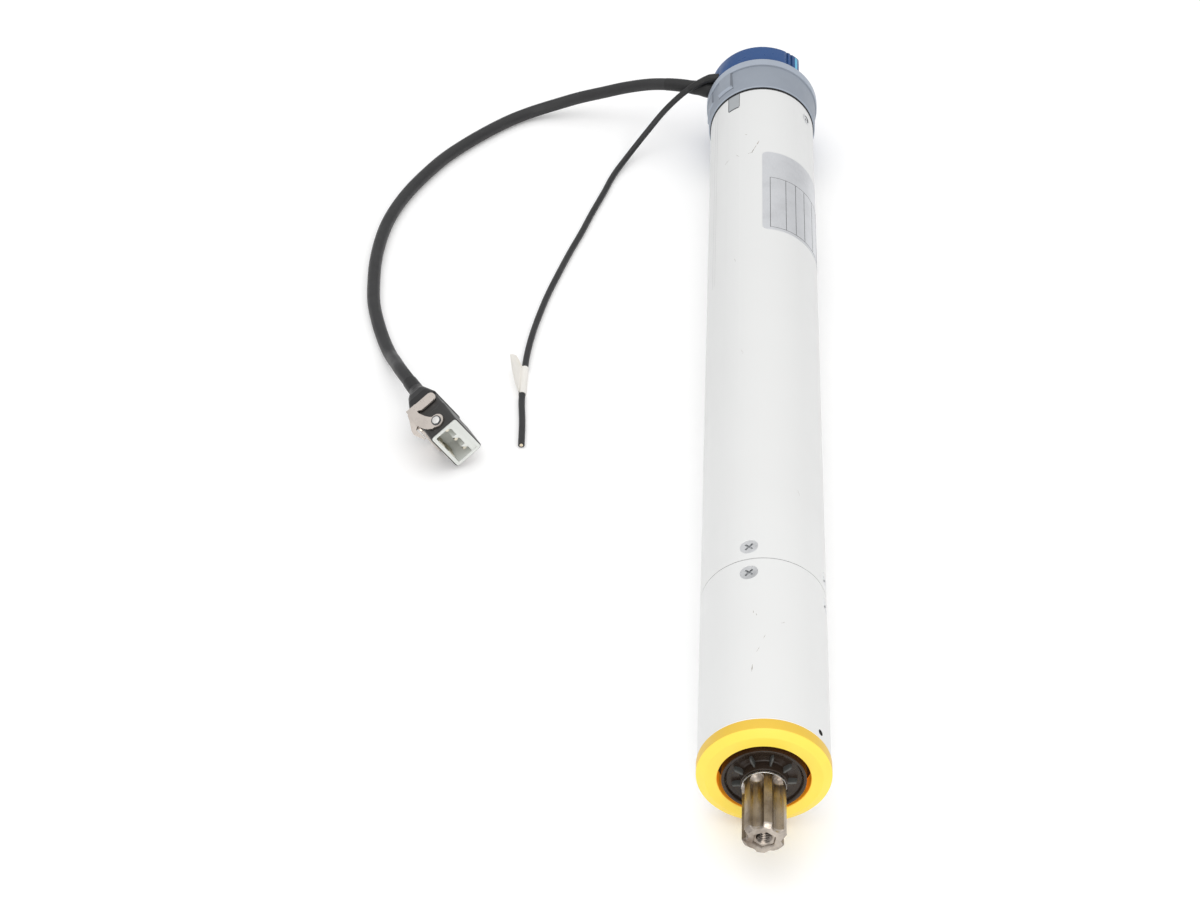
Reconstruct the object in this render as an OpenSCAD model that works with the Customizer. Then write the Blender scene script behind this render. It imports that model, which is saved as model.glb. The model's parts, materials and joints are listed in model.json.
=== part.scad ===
// Tubular drive for a roller blind or shutter, lying on its side.
// X runs along the tube towards the drive shaft, Z is up, sizes are in millimetres.
// The origin is under the middle of the drive, on the surface that it lies on.

/* [Tubes] */
// Outer diameter of the motor tube and the gear tube
tube_d = 58; // [56:0.5:62]
// Wall of both tubes
tube_wall = 2; // [1.5:0.1:2.2]
// Length of the gear tube, at the drive end
gear_tube_l = 100; // [96:1:130]
// Length of the motor tube
motor_tube_l = 386.5; // [382:0.5:460]
// Groove between the two tubes
seam_w = 0.5; // [0.3:0.1:1]
// Diameter of a countersunk screw head at the seam
seam_head_d = 9.2; // [7:0.1:10]
// Thread diameter of a seam screw
seam_thread_d = 5; // [4:0.5:6]
// Length of a seam screw
seam_screw_l = 8; // [6:0.5:8.5]
// Distance of each row of screws from the seam
seam_row = 8.5; // [7:0.5:10]

/* [End ring] */
// How far the ring stands proud of the tube
ring_proud = 0.4; // [0.2:0.1:1]
// Width of the ring in front of the tube
ring_w = 8; // [7:0.5:10]
// Diameter of the opening in the ring
ring_bore_d = 40.5; // [40:0.5:42]
// Diameter of the ring's flat front face
ring_face_d = 50.6; // [48:0.2:54]
// Depth of the rounded nose between the face and the side
ring_nose = 2; // [1:0.5:3]
// Length of the ring's spigot inside the tube
ring_spigot_l = 14; // [12:0.5:18]

/* [Output] */
// How far the shaft stands out of the ring's face
shaft_out = 34.5; // [28:0.5:45]
// Diameter across the six lobes of the shaft
star_d = 19.2; // [17.5:0.1:20]
// Diameter at the bottom of the flutes
star_root_d = 14; // [13:0.1:15]
// Radius of each flute
flute_r = 3.2; // [2.8:0.1:3.4]
// Chamfer at the shaft's tip
tip_chamfer = 1.8; // [0.5:0.1:2.5]
// Tapping diameter of the threaded hole in the tip
tip_hole_d = 5; // [4.2:0.1:5.5]
// Depth of the threaded hole
tip_hole_l = 18; // [12:1:24]
// Diameter of the shaft's journal in its bush
shaft_journal_d = 17; // [16:0.5:17.5]
// Diameter of the round shoulder behind the lobes
shoulder_d = 19.4; // [18:0.1:20]
// Diameter of the dished cover in the ring's opening
cover_d = 36.8; // [35:0.2:38]
// Diameter of the collar round the shaft
collar_d = 20.6; // [20:0.1:22]
// How far the collar stands out of the ring's face
collar_out = 3.5; // [2:0.5:5]
// Wall of the shaft's bronze bush
bush_wall = 1.2; // [0.8:0.1:1.2]
// Thickness of a cover rib
rib_t = 1.3; // [0.8:0.1:2]

/* [Gears] */
// Face width of the first, second and third planet sets
gear_w_1 = 10; // [8:0.5:12]
// Face width of the second planet set
gear_w_2 = 12; // [10:0.5:14]
// Face width of the third planet set
gear_w_3 = 16; // [12:0.5:18]
// Thickness of each planet carrier
carrier_w = 4.5; // [3:0.5:6]
// Diameter of a planet pin
pin_d = 5; // [4:0.5:6]
// Thickness of the plate behind the gears
gear_plate_w = 3; // [2:0.5:5]

/* [Motor] */
// Length of the joint collar inside the motor tube
joint_grip = 17.1; // [16:0.1:24]
// Wall of that collar
joint_wall = 7; // [6.5:0.5:8]
// Diameter of the rotor's shaft
rotor_shaft_d = 8; // [7:0.5:9]
// Length of the stator's core
stator_l = 90; // [60:1:95]
// Diameter of the stator's bore
stator_bore_d = 30.6; // [28:0.2:32]
// Air gap between rotor and stator
air_gap = 0.4; // [0.3:0.1:0.8]
// Outer diameter of a rotor bearing
bearing_d = 22; // [18:1:24]
// Width of a rotor bearing
bearing_w = 7; // [6:0.5:8]
// Diameter of the capacitor
capacitor_d = 30; // [26:1:34]
// Length of the capacitor
capacitor_l = 50; // [40:1:55]
// Length of the control board
board_l = 110; // [96:1:136]
// Width of the control board
board_w = 42; // [36:1:44]

/* [Head] */
// Step from the tube down to the head core's journal
head_journal_step = 5; // [4.5:0.1:5.5]
// Length of the core's spigot inside the motor tube
head_spigot_l = 17; // [15:0.5:22]
// How far the crown stands proud of the tube at its front edge
crown_proud = 1; // [0.5:0.1:1.5]
// How far the crown's rim stands proud of the tube
crown_rim_proud = 2.5; // [2.3:0.1:4]
// Length of the crown
crown_l = 27; // [24:0.5:34]
// Width of the crown's rim
crown_rim_w = 5; // [3:0.5:7]
// Thickness of the washer between tube and crown
crown_washer_w = 0.7; // [0.5:0.1:1.5]
// How far the head cap stands proud of the tube
head_cap_proud = 0.7; // [0:0.1:1.5]
// Length of the head cap
head_cap_l = 16.5; // [16:0.5:24]
// Distance of the cap's flat side from the axis
head_flat = 20.5; // [20:0.5:26]
// Pitch circle of the four mounting threads in the cap
mount_pcd = 44; // [40:0.5:46]
// Tapping diameter of a mounting thread
mount_hole_d = 5; // [4.2:0.1:5.5]
// Depth of a mounting thread
mount_hole_l = 11; // [8:0.5:14]

/* [Cables] */
// Diameter of the power cable
cable_d = 7; // [6:0.1:8]
// Diameter of the antenna cable
antenna_d = 3.4; // [2.6:0.1:3.6]
// Largest diameter of the power cable's gland
gland_d = 11; // [10:0.2:12]
// Diameter of the antenna's gland
antenna_gland_d = 5.2; // [4.8:0.1:5.6]

/* [Plug] */
// Thickness of the plug
plug_t = 16.5; // [15.5:0.1:18]
// Width of the plug
plug_w = 28; // [26:0.5:30]
// Length of the plug's body
plug_l = 25.5; // [23:0.5:30]
// Length of the boot behind the body
boot_l = 28.5; // [26:0.5:36]
// Wall of the plug's body
plug_wall = 1.3; // [1:0.1:1.6]
// Wall of the white insert
insert_wall = 1; // [0.8:0.1:1.2]
// Depth of the insert's socket
socket_l = 14; // [12:0.5:16]
// Thickness of the locking clip's steel
clip_t = 1; // [0.6:0.1:1.2]
// Diameter of the lugs that the clip turns on
lug_d = 4; // [3.4:0.1:4.4]

/* [Hidden] */
$fn = 64;

// Clearances
slip = 0.03;
fit = 0.05;
gap = 0.3;
eps = 0.01;

// Radii
tube_r = tube_d / 2;
tube_in = tube_r - tube_wall;
core_r = tube_in - slip;
crown_rim_r = tube_r + crown_rim_proud;
axis_h = crown_rim_r;
head_journal_r = tube_r - head_journal_step;

// Places along the drive, from the shaft's tip to the head cap's back
total_l = shaft_out + ring_w + gear_tube_l + seam_w + motor_tube_l + crown_washer_w + gap
    + crown_l + gap + head_cap_l;
x_tip = total_l / 2;
x_face = x_tip - shaft_out;
x_gear_tube_1 = x_face - ring_w;
x_gear_tube_0 = x_gear_tube_1 - gear_tube_l;
x_motor_tube_1 = x_gear_tube_0 - seam_w;
x_motor_tube_0 = x_motor_tube_1 - motor_tube_l;
x_seam = (x_gear_tube_0 + x_motor_tube_1) / 2;
x_crown_1 = x_motor_tube_0 - crown_washer_w - gap;
x_crown_0 = x_crown_1 - crown_l;
x_cap_1 = x_crown_0 - gap;
x_cap_0 = x_cap_1 - head_cap_l;

// Seam screws: angles are measured from the top towards +Y
seam_angle = -16;
seam_n = 4;
seam_shank_r = seam_thread_d / 2;
seam_head_r = seam_head_d / 2;
cross_l = 4.8;
cross_w = 1;
cross_depth = 1.4;

// End ring and cover
ring_r = tube_r + ring_proud;
ring_bore_r = ring_bore_d / 2;
ring_back_chamfer = 0.4;
ring_window_deg = 48;
ring_window_t = 1;
ring_mark_r = 1.3;
ring_mark_in = 4.5;
ring_mark_angle = 54;
spigot_wall = 3;
cover_r = cover_d / 2;
cover_lip_w = 1.2;
cover_lip_out = 0.8;
cover_dish = 2.2;
cover_flange_l = 9;
cover_flange_r = core_r - spigot_wall - slip;
collar_r = collar_d / 2;
rib_n = 9;
rib_first = 13;
rib_out = 4.2;
x_gears_1 = x_gear_tube_1 - ring_spigot_l;
x_dish = x_face + cover_lip_out - cover_dish;

// Drive shaft
lobe_n = 6;
lobe_first = 7.5;
flute_back = 1.5;
shoulder_w = 1.2;
journal_r = shaft_journal_d / 2;
hex_r = journal_r - 1;
tip_socket_r = 4.2;
tip_socket_l = 1.2;
x_shoulder_0 = x_face + collar_out + gap;
thrust_w = 1;
x_thrust_1 = x_gears_1 - gap;
x_carrier_3 = x_thrust_1 - thrust_w;

// Planetary gears, three stages on one ring gear
pressure = 20;
sun_z = 12;
planet_z = 15;
ring_z = sun_z + 2 * planet_z;
planet_n = 3;
dedendum_m = 1.1;
ring_gear_wall = 4.87;
gear_m = (core_r - ring_gear_wall) / (ring_z / 2 + dedendum_m);
planet_at_r = gear_m * (sun_z + planet_z) / 2;
addendum = 0.8 * gear_m;
dedendum = dedendum_m * gear_m;
ring_addendum = 0.7 * gear_m;
flank_play = 0.06;
planet_hub_play = fit;
carrier_r = gear_m * ring_z / 2 - 1.2;
pin_r = pin_d / 2;
gear_w = [gear_w_1, gear_w_2, gear_w_3];
stage_l = [for (w = gear_w) carrier_w + w + 2 * gap];
// Front face of a stage's carrier: stage 0 is next to the motor, stage 2 at the shaft
function carrier_x(k) = k == 2 ? x_carrier_3 : carrier_x(k + 1) - stage_l[k + 1];
x_gears_0 = carrier_x(0) - stage_l[0];
x_plate_0 = x_gears_0 - gear_plate_w;

// Joint collar and brake
x_joint_0 = x_motor_tube_1 - joint_grip;
joint_in = core_r - joint_wall;
brake_hub_r = rotor_shaft_d / 2 + 2;
coil_w = 18;
armature_w = 3;
armature_travel = 0.5;
brake_disc_w = 3;
web_w = 3;
x_coil_1 = x_plate_0 - 1;
x_coil_0 = x_coil_1 - coil_w;
x_armature_1 = x_coil_0 - armature_travel - gap;
x_armature_0 = x_armature_1 - armature_w;
x_brake_1 = x_armature_0 - gap;
x_brake_0 = x_brake_1 - brake_disc_w;
x_web_1 = x_brake_0 - gap;

// Motor
shaft_r = rotor_shaft_d / 2;
pinion_seat_r = 3;
shield_w = 10;
bearing_r = bearing_d / 2;
winding_l = 11;
winding_gap = 2;
slot_n = 12;
slot_w = 3.4;
slot_l = 7;
slot_lip = 0.8;
stator_bore_r = stator_bore_d / 2;
winding_in = stator_bore_r + slot_lip;
winding_out = winding_in + slot_l;
x_front_shield_1 = x_joint_0 - 1;
x_front_shield_0 = x_front_shield_1 - shield_w;
x_stator_1 = x_front_shield_0 - winding_gap - winding_l;
x_stator_0 = x_stator_1 - stator_l;
x_rear_shield_1 = x_stator_0 - winding_l - winding_gap;
x_rear_shield_0 = x_rear_shield_1 - shield_w;

// Electronics
tray_wall = 1.6;
tray_gap = 4;
board_t = 1.6;
board_drop = 8;
capacitor_r = capacitor_d / 2;
x_tray_1 = x_rear_shield_0 - tray_gap;
x_tray_0 = x_motor_tube_0 + head_spigot_l + gap;
x_capacitor_1 = x_tray_1 - 2;
x_board_0 = x_tray_0 + 2;
rail_w = 8;
rail_h = 3;
rail_lap = 2;
saddle_w = 4;
saddle_in = 6;
// Blocks on the board: their sizes, and the places of those that stand in a row
receiver = [24, 20, 4];
receiver_at = 14;
relay = [19, 15, 15.5];
relay_at = 44;
relay_pitch = 22;
transformer = [26, 11, 12];
terminals = [9, 22, 11];
terminals_in = 13;
terminal_l = 6;
terminal_w = 5;
terminal_t = 0.8;

// Head: the key fills the slot in the tube's end
key_angle = -35.5;
key_w = 6.9;
key_l = 13.5;
key_play = 0.1;
fixing_angle = 56;
fixing_in = 10;
fixing_r = 1.5;
fixing_head_r = 2.2;
core_bore_r = 9;
core_floor = 4;
boss_r = 15;
boss_l = 7;
cap_r = tube_r + head_cap_proud;
cap_round = 2;
cap_flat_round = 5;
cap_groove_w = 1.6;
cap_groove_l = 1;
cap_grooves = [26.5, 32];
mount_n = 4;
mount_first = 45;
head_screw_r = 1.75;
head_screw_at = 10;
head_screw_head_r = 3.4;
head_screw_head_l = 2.5;
head_screw_sunk = 3;
head_screw_l = 14;
head_cross_l = 4;
head_cross_w = 0.8;
head_cross_depth = 1.2;

// Crown: a raised pair of pads leaves a key slot between them
crown_r = tube_r + crown_proud;
crown_swell = 0.7;
crown_bore_r = head_journal_r + fit;
pad_front = 5;
pads = [[-62, -35], [-100, -72]];

// Limit gear: the crown's inner teeth turn a pinion that the electronics read
limit_z = 63;
limit_ring_wall = 1.2;
limit_m = (head_journal_r + limit_ring_wall) * 2 / limit_z;
limit_pinion_z = 14;
limit_w = 6;
limit_in = 4;
limit_angle = 150;
limit_add = 0.55;
limit_ded = 0.9;
limit_at_r = limit_m * (limit_z - limit_pinion_z) / 2;
limit_pocket_r = limit_m * limit_pinion_z / 2 + limit_add + gap;
limit_shaft_r = 1.5;
magnet_r = 4.5;
magnet_w = 4;

// Cable exits in the cap's -Y side. Their X, and that of all on the cables, is
// measured from the cap's back face
gland_x = 8;
gland_z = axis_h + 4.5;
gland_in = -20;
gland_neck = -cap_r - 1.3;
gland_end = gland_neck - 6;
antenna_x = 10;
antenna_z = axis_h + 13;
antenna_in = -20;
antenna_end = gland_neck;

// Power cable, between its gland and the plug's boot
cable_route = [
    [3, -50, 34.5], [-3, -64, 30.5], [-8, -79, 24.5],
    [-11, -93, 18.5], [-13, -107, 13], [-12.5, -121, 8], [-9, -135, 4.5],
    [-1, -147, 3.6], [11, -159, 3.6], [25, -171, 3.6], [40, -182, 3.6],
    [56, -191, 3.6], [73, -199, 3.6], [90, -205, 3.6], [107, -209, 3.6],
    [125, -211, 3.6], [143, -211.5, 3.6], [161, -210.5, 3.6], [179, -208.5, 3.6],
    [196, -204.5, 3.6], [212, -199.5, 3.6], [226, -194.5, 5.5], [240, -190, 11.5],
    [252, -186, 16.5]
];
cable_sides = 10;

// Antenna cable, from its gland to its free end
antenna_route = [
    [12.5, -43, 37.5], [14, -55, 25], [21, -66, 13],
    [34, -76.5, 4.6], [50, -84, 2.1], [68, -89, 1.9], [87, -94.5, 1.9],
    [106, -99.5, 1.9], [125, -105, 1.9], [144, -110, 1.9], [163, -114.7, 1.9],
    [182, -118.4, 2.1], [201, -121.3, 2.4], [220, -123.1, 2.4], [238, -123.4, 2.4],
    [256, -123.3, 2.4], [274, -121.9, 2.1], [291, -121.2, 1.9]
];
antenna_sides = 8;
tag_x = 230;
tag_l = 21.5;
tag_w = 5.6;
tag_t = 0.4;
tag_r = antenna_d / 2 + 0.15 + tag_t;
tag_y = -123.4;
tag_z = 2.4;
tag_tilt = 40;

// Plug: its own frame has X out of the mouth, Y across the thickness, Z across the width
plug_at = [309.6, -152.3, 18];
plug_yaw = 31;
plug_roll = 31;
plug_dir = [cos(plug_yaw), sin(plug_yaw), 0];
cable_start = [gland_x, gland_end, gland_z];
cable_end = plug_at - (plug_l + boot_l) * plug_dir;
antenna_start = [antenna_x, antenna_end, antenna_z];
plug_corner = 2;
mouth_l = 14.4;
plug_step = 0.4;
flange_l = 1.2;
flange_wall = 0.5;
socket_corner = 0.6;
boot_step = 0.2;
boot_taper_l = 21;
boot_taper_n = 5;
boot_neck_d = cable_d + 0.9;
boot_end_d = cable_d + 0.6;
contact_pitch = 8.8;
contact_r = 1;
contact_y = 1;
contact_in = 2;
step_wall = 3;
lug_x = -6;
lug_out = 1.6;
clip_gap = 0.25;
clip_eye_r = 3.8;
bridge_x = -24.4;
bridge_l = 12.2;
fold_l = 4.4;
finger_w = 5.8;
finger_y = 4.3;
lever_x = bridge_x + 2.4;
lever_l = 18;
lever_w = 24;
lever_h = 3.5;
lever_round = 6;

// Base of the cable's round sections, square to the route
function unit(v) = v / norm(v);
function route_dir(p, i) = unit(p[min(i + 1, len(p) - 1)] - p[max(i - 1, 0)]);
function side_dir(d) = unit(cross([0, 0, 1], d));
function ring_at(c, d, r, n) = let(s = side_dir(d), u = cross(d, s))
    [for (k = [0 : n - 1]) c + r * (cos(360 * k / n) * s + sin(360 * k / n) * u)];
// Points halfway along a smooth curve through the route
function halfway(a, b, c, d) = (9 * (b + c) - a - d) / 16;
function smooth(p) = concat(
    [for (i = [0 : len(p) - 2]) each [
        p[i],
        halfway(p[max(i - 1, 0)], p[i], p[i + 1], p[min(i + 2, len(p) - 1)])
    ]],
    [p[len(p) - 1]]);

// Gear outlines, with true involute flanks
function inv_deg(a) = tan(a) * 180 / PI - a;
function flank_deg(base, r) = r > base ? inv_deg(acos(base / r)) : 0;
function tooth_half(z, m, r, play) = 90 / z - play / (z * m / 2) * 180 / PI
    + inv_deg(pressure) - flank_deg(z * m / 2 * cos(pressure), r);
function polar(r, a) = r * [cos(a), sin(a)];
function tooth(z, m, radii, play, a) = concat(
    [for (r = radii) polar(r, a - tooth_half(z, m, r, play))],
    [for (i = [len(radii) - 1 : -1 : 0])
        polar(radii[i], a + tooth_half(z, m, radii[i], play))]);

module gear_outline(z, m, radii, play) {
    polygon([for (k = [0 : z - 1]) each tooth(z, m, radii, play, 360 * k / z)]);
}

function outer_radii(z, m, add, ded) = let(p = z * m / 2)
    [p - ded, max(p - ded + eps, p * cos(pressure)), p, p + add * 0.6, p + add];

module spur(z) {
    gear_outline(z, gear_m, outer_radii(z, gear_m, addendum, dedendum), flank_play);
}

// Places a shape that was made along Z on the drive's axis, with its Z along X
module on_axis() {
    translate([0, 0, axis_h])
        rotate([0, 90, 0])
            children();
}

// Turns a shape that was made above the axis to an angle from the top towards +Y
module around(angle) {
    translate([0, 0, axis_h])
        rotate([-angle, 0, 0])
            children();
}

// A plain ring or disc between two places on the axis
module turned_ring(x0, x1, r_out, r_in) {
    on_axis()
        translate([0, 0, x0])
            difference() {
                cylinder(h = x1 - x0, r = r_out);
                translate([0, 0, -1])
                    cylinder(h = x1 - x0 + 2, r = r_in);
            }
}

module turned_rod(x0, x1, r) {
    on_axis()
        translate([0, 0, x0])
            cylinder(h = x1 - x0, r = r);
}

// Moves what was placed from the cap's back face
module from_cap() {
    translate([x_cap_0, 0, 0])
        children();
}

// A turned body from its outline, given as [radius, x]
module turned(points) {
    on_axis()
        rotate_extrude()
            polygon(points);
}

// A round hole in the wall, seen from above the axis
module radial_hole(x, angle, r, r0, r1) {
    around(angle)
        translate([x, 0, r0])
            cylinder(h = r1 - r0, r = r);
}

// A sector between two angles, thick in X
module sector(x0, x1, r_in, r_out, a0, a1) {
    on_axis()
        translate([0, 0, x0])
            rotate([0, 0, 180 - a1])
                rotate_extrude(angle = a1 - a0)
                    translate([r_in, 0])
                        square([r_out - r_in, x1 - x0]);
}

module countersink(x, angle) {
    around(angle)
        translate([x, 0, tube_r - (seam_head_r - seam_shank_r)])
            cylinder(h = seam_head_r - seam_shank_r + eps, r1 = seam_shank_r, r2 = seam_head_r + eps);
}

module seam_row_holes(x) {
    for (k = [0 : seam_n - 1]) {
        countersink(x, seam_angle + 360 * k / seam_n);
        radial_hole(x, seam_angle + 360 * k / seam_n, seam_shank_r + slip, tube_in - 1, tube_r + 1);
    }
}

module tube(x0, x1) {
    turned_ring(x0, x1, tube_r, tube_in);
}

module gear_tube() {
    color([0.93, 0.93, 0.9])
        difference() {
            tube(x_gear_tube_0, x_gear_tube_1);
            seam_row_holes(x_seam + seam_row);
            ring_mark();
        }
}

// Small hole through the gear tube into the ring's spigot
module ring_mark() {
    radial_hole(x_gear_tube_1 - ring_mark_in, ring_mark_angle, ring_mark_r, tube_in - 1, tube_r + 1);
}

module key_slot_shape(play, r0, r1) {
    around(key_angle)
        translate([x_motor_tube_0 - eps, 0, r0])
            linear_extrude(r1 - r0)
                union() {
                    translate([0, -key_w / 2 - play])
                        square([key_l - 1.5 + play, key_w + 2 * play]);
                    translate([0, -key_w / 2 - play + 1.5])
                        square([key_l + play, key_w + 2 * play - 3]);
                    for (s = [-1, 1])
                        translate([key_l - 1.5 + play, s * (key_w / 2 + play - 1.5)])
                            circle(r = 1.5, $fn = 32);
                }
}

module motor_tube() {
    color([0.93, 0.93, 0.9])
        difference() {
            tube(x_motor_tube_0, x_motor_tube_1);
            seam_row_holes(x_seam - seam_row);
            key_slot_shape(key_play, tube_in - 1, tube_r + 1);
            radial_hole(x_motor_tube_0 + fixing_in, fixing_angle, fixing_head_r + slip,
                tube_in - 1, tube_r + 1);
        }
}

// The collar carries the brake and takes the screws of both tubes
module joint_collar() {
    color([0.72, 0.72, 0.72])
        difference() {
            union() {
                turned_ring(x_joint_0, x_plate_0, core_r, joint_in);
                turned_ring(x_web_1 - web_w, x_web_1, core_r - 1, brake_hub_r);
            }
            for (x = [x_seam - seam_row, x_seam + seam_row])
                for (k = [0 : seam_n - 1])
                    radial_hole(x, seam_angle + 360 * k / seam_n, seam_shank_r + slip,
                        tube_r - seam_screw_l - 1, tube_r);
        }
}

module seam_screw() {
    cone_l = seam_head_r - seam_shank_r;
    difference() {
        union() {
            translate([0, 0, tube_r - cone_l])
                cylinder(h = cone_l - gap, r1 = seam_shank_r, r2 = seam_head_r - gap);
            translate([0, 0, tube_r - seam_screw_l])
                cylinder(h = seam_screw_l - cone_l + eps, r = seam_shank_r);
        }
        for (a = [45, 135])
            rotate([0, 0, a])
                translate([-cross_l / 2, -cross_w / 2, tube_r - gap - cross_depth])
                    cube([cross_l, cross_w, cross_depth + 1]);
    }
}

module seam_screws() {
    color([0.75, 0.76, 0.76])
        for (x = [x_seam - seam_row, x_seam + seam_row])
            for (k = [0 : seam_n - 1])
                around(seam_angle + 360 * k / seam_n)
                    translate([x, 0, 0])
                        seam_screw();
}

// Yellow ring with a rounded nose; two windows in its bore hold the cover
module end_ring() {
    nose_r = ring_r - ring_face_d / 2;
    color([0.98, 0.85, 0.25])
        difference() {
            turned(concat(
                [[ring_bore_r + 0.3, x_face], [ring_face_d / 2, x_face]],
                [for (a = [75 : -15 : 0])
                    [ring_face_d / 2 + nose_r * cos(a), x_face - ring_nose + ring_nose * sin(a)]],
                [
                    [ring_r, x_gear_tube_1 + ring_back_chamfer],
                    [ring_r - ring_back_chamfer, x_gear_tube_1],
                    [core_r, x_gear_tube_1],
                    [core_r, x_gears_1],
                    [core_r - spigot_wall, x_gears_1],
                    [core_r - spigot_wall, x_gears_1 + cover_flange_l],
                    [ring_bore_r, x_gears_1 + cover_flange_l],
                    [ring_bore_r, x_face - 0.3]
                ]));
            for (a = [-90, 90])
                sector(x_gears_1 + cover_flange_l + 2, x_face - 1.2, ring_bore_r - 1,
                    ring_bore_r + ring_window_t, a - ring_window_deg / 2, a + ring_window_deg / 2);
            ring_mark();
        }
}

// Fixed cover: dished face, raised lip, nine short ribs and a collar for the bush
module output_cover() {
    bush_r = journal_r + bush_wall;
    color([0.22, 0.2, 0.19])
        union() {
            turned([
                [bush_r, x_gears_1],
                [cover_flange_r, x_gears_1],
                [cover_flange_r, x_gears_1 + cover_flange_l],
                [cover_r, x_gears_1 + cover_flange_l],
                [cover_r, x_face + cover_lip_out - 0.4],
                [cover_r - 0.4, x_face + cover_lip_out],
                [cover_r - cover_lip_w, x_face + cover_lip_out],
                [cover_r - cover_lip_w - 0.6, x_dish + 0.8],
                [collar_r + 0.4, x_dish],
                [collar_r, x_dish + 0.6],
                [collar_r - 0.2, x_face + collar_out - 0.4],
                [collar_r - 0.5, x_face + collar_out],
                [journal_r + fit + 0.3, x_face + collar_out],
                [journal_r + fit, x_face + collar_out - 0.3],
                [journal_r + fit, x_face - 0.5],
                [bush_r, x_face - 0.5]
            ]);
            for (k = [0 : rib_n - 1])
                around(rib_first + 360 * k / rib_n)
                    translate([0, rib_t / 2, 0])
                        rotate([90, 0, 0])
                            linear_extrude(rib_t)
                                polygon([
                                    [x_dish - 0.5, collar_r - 0.4],
                                    [x_face + collar_out - 1.4, collar_r - 0.4],
                                    [x_dish + 1.6, collar_r + rib_out - 0.5],
                                    [x_dish + 1, collar_r + rib_out],
                                    [x_dish - 0.5, collar_r + rib_out]
                                ]);
        }
}

module output_bush() {
    color([0.72, 0.55, 0.3])
        turned_ring(x_gears_1, x_face - 0.5, journal_r + bush_wall - slip, journal_r + fit);
}

// Six-lobed shaft with round shoulder, journal and a hexagon for the last carrier
module drive_shaft() {
    star_r = star_d / 2;
    color([0.62, 0.58, 0.53])
        difference() {
            union() {
                turned([
                    [0, x_carrier_3],
                    [journal_r, x_carrier_3],
                    [journal_r, x_shoulder_0],
                    [shoulder_d / 2 - 0.3, x_shoulder_0],
                    [shoulder_d / 2, x_shoulder_0 + 0.3],
                    [shoulder_d / 2, x_shoulder_0 + shoulder_w],
                    [star_r, x_shoulder_0 + shoulder_w],
                    [star_r, x_tip - tip_chamfer],
                    [star_r - tip_chamfer, x_tip],
                    [0, x_tip]
                ]);
                on_axis()
                    translate([0, 0, x_carrier_3 - carrier_w])
                        cylinder(h = carrier_w + eps, r = hex_r, $fn = 6);
            }
            for (k = [0 : lobe_n - 1])
                around(lobe_first + 360 * (k + 0.5) / lobe_n)
                    translate([x_shoulder_0 + shoulder_w + flute_back, 0, star_root_d / 2 + flute_r]) {
                        sphere(r = flute_r);
                        rotate([0, 90, 0])
                            cylinder(h = x_tip, r = flute_r);
                    }
            turned_rod(x_tip - tip_hole_l, x_tip + 1, tip_hole_d / 2);
            on_axis()
                translate([0, 0, x_tip - tip_socket_l])
                    rotate([0, 0, -lobe_first])
                        cylinder(h = tip_socket_l + 1, r = tip_socket_r, $fn = 6);
            on_axis()
                translate([0, 0, x_tip - tip_socket_l - 1])
                    cylinder(h = 1 + eps, r1 = tip_hole_d / 2, r2 = tip_hole_d / 2 + 0.8);
        }
}

module thrust_washer() {
    color([0.75, 0.6, 0.35])
        turned_ring(x_carrier_3, x_thrust_1, journal_r + 5, journal_r + slip);
}

module ring_gear() {
    p = ring_z * gear_m / 2;
    color([0.62, 0.62, 0.64])
        on_axis()
            translate([0, 0, x_gears_0])
                difference() {
                    cylinder(h = x_gears_1 - x_gears_0, r = core_r);
                    translate([0, 0, -1])
                        linear_extrude(x_gears_1 - x_gears_0 + 2)
                            gear_outline(ring_z, gear_m,
                                [p - ring_addendum, p, p + dedendum * 0.6, p + dedendum], -flank_play);
                }
}

// Carrier of one stage; those behind another stage carry its sun gear
module carrier(k) {
    difference() {
        union() {
            turned_rod(carrier_x(k) - carrier_w, carrier_x(k), carrier_r);
            if (k < 2)
                on_axis()
                    translate([0, 0, carrier_x(k) - eps])
                        linear_extrude(gear_w[k + 1] + eps)
                            spur(sun_z);
        }
        pin_places()
            translate([0, 0, carrier_x(k) - carrier_w - 1])
                cylinder(h = carrier_w, r = pin_r + slip);
        if (k == 2)
            on_axis()
                translate([0, 0, carrier_x(k) - carrier_w - 1])
                    cylinder(h = carrier_w + 2, r = hex_r + slip, $fn = 6);
    }
}

module pin_places() {
    for (i = [0 : planet_n - 1])
        on_axis()
            rotate([0, 0, 360 * i / planet_n])
                translate([planet_at_r, 0, 0])
                    children();
}

module planet_pins(k) {
    color([0.7, 0.7, 0.72])
        pin_places()
            translate([0, 0, carrier_x(k) - carrier_w - gap - gear_w[k]])
                cylinder(h = carrier_w - 1 + gap + gear_w[k], r = pin_r);
}

module planet(k, i) {
    color([0.85, 0.82, 0.7])
        on_axis()
            rotate([0, 0, 360 * i / planet_n])
                translate([planet_at_r, 0, carrier_x(k) - carrier_w - gap - gear_w[k]])
                    linear_extrude(gear_w[k])
                        difference() {
                            spur(planet_z);
                            circle(r = pin_r + planet_hub_play);
                        }
}

module carrier_3() {
    color([0.55, 0.56, 0.58])
        carrier(2);
}

module carrier_2() {
    color([0.55, 0.56, 0.58])
        carrier(1);
}

module carrier_1() {
    color([0.55, 0.56, 0.58])
        carrier(0);
}

// First sun gear, pressed on the rotor's shaft
module motor_pinion() {
    color([0.8, 0.7, 0.45])
        on_axis()
            translate([0, 0, x_gears_0 + gap])
                linear_extrude(gear_w[0])
                    difference() {
                        spur(sun_z);
                        circle(r = pinion_seat_r + slip);
                    }
}

module gearbox_plate() {
    color([0.5, 0.5, 0.52])
        turned_ring(x_plate_0, x_gears_0, core_r, shaft_r + 1);
}

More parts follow.
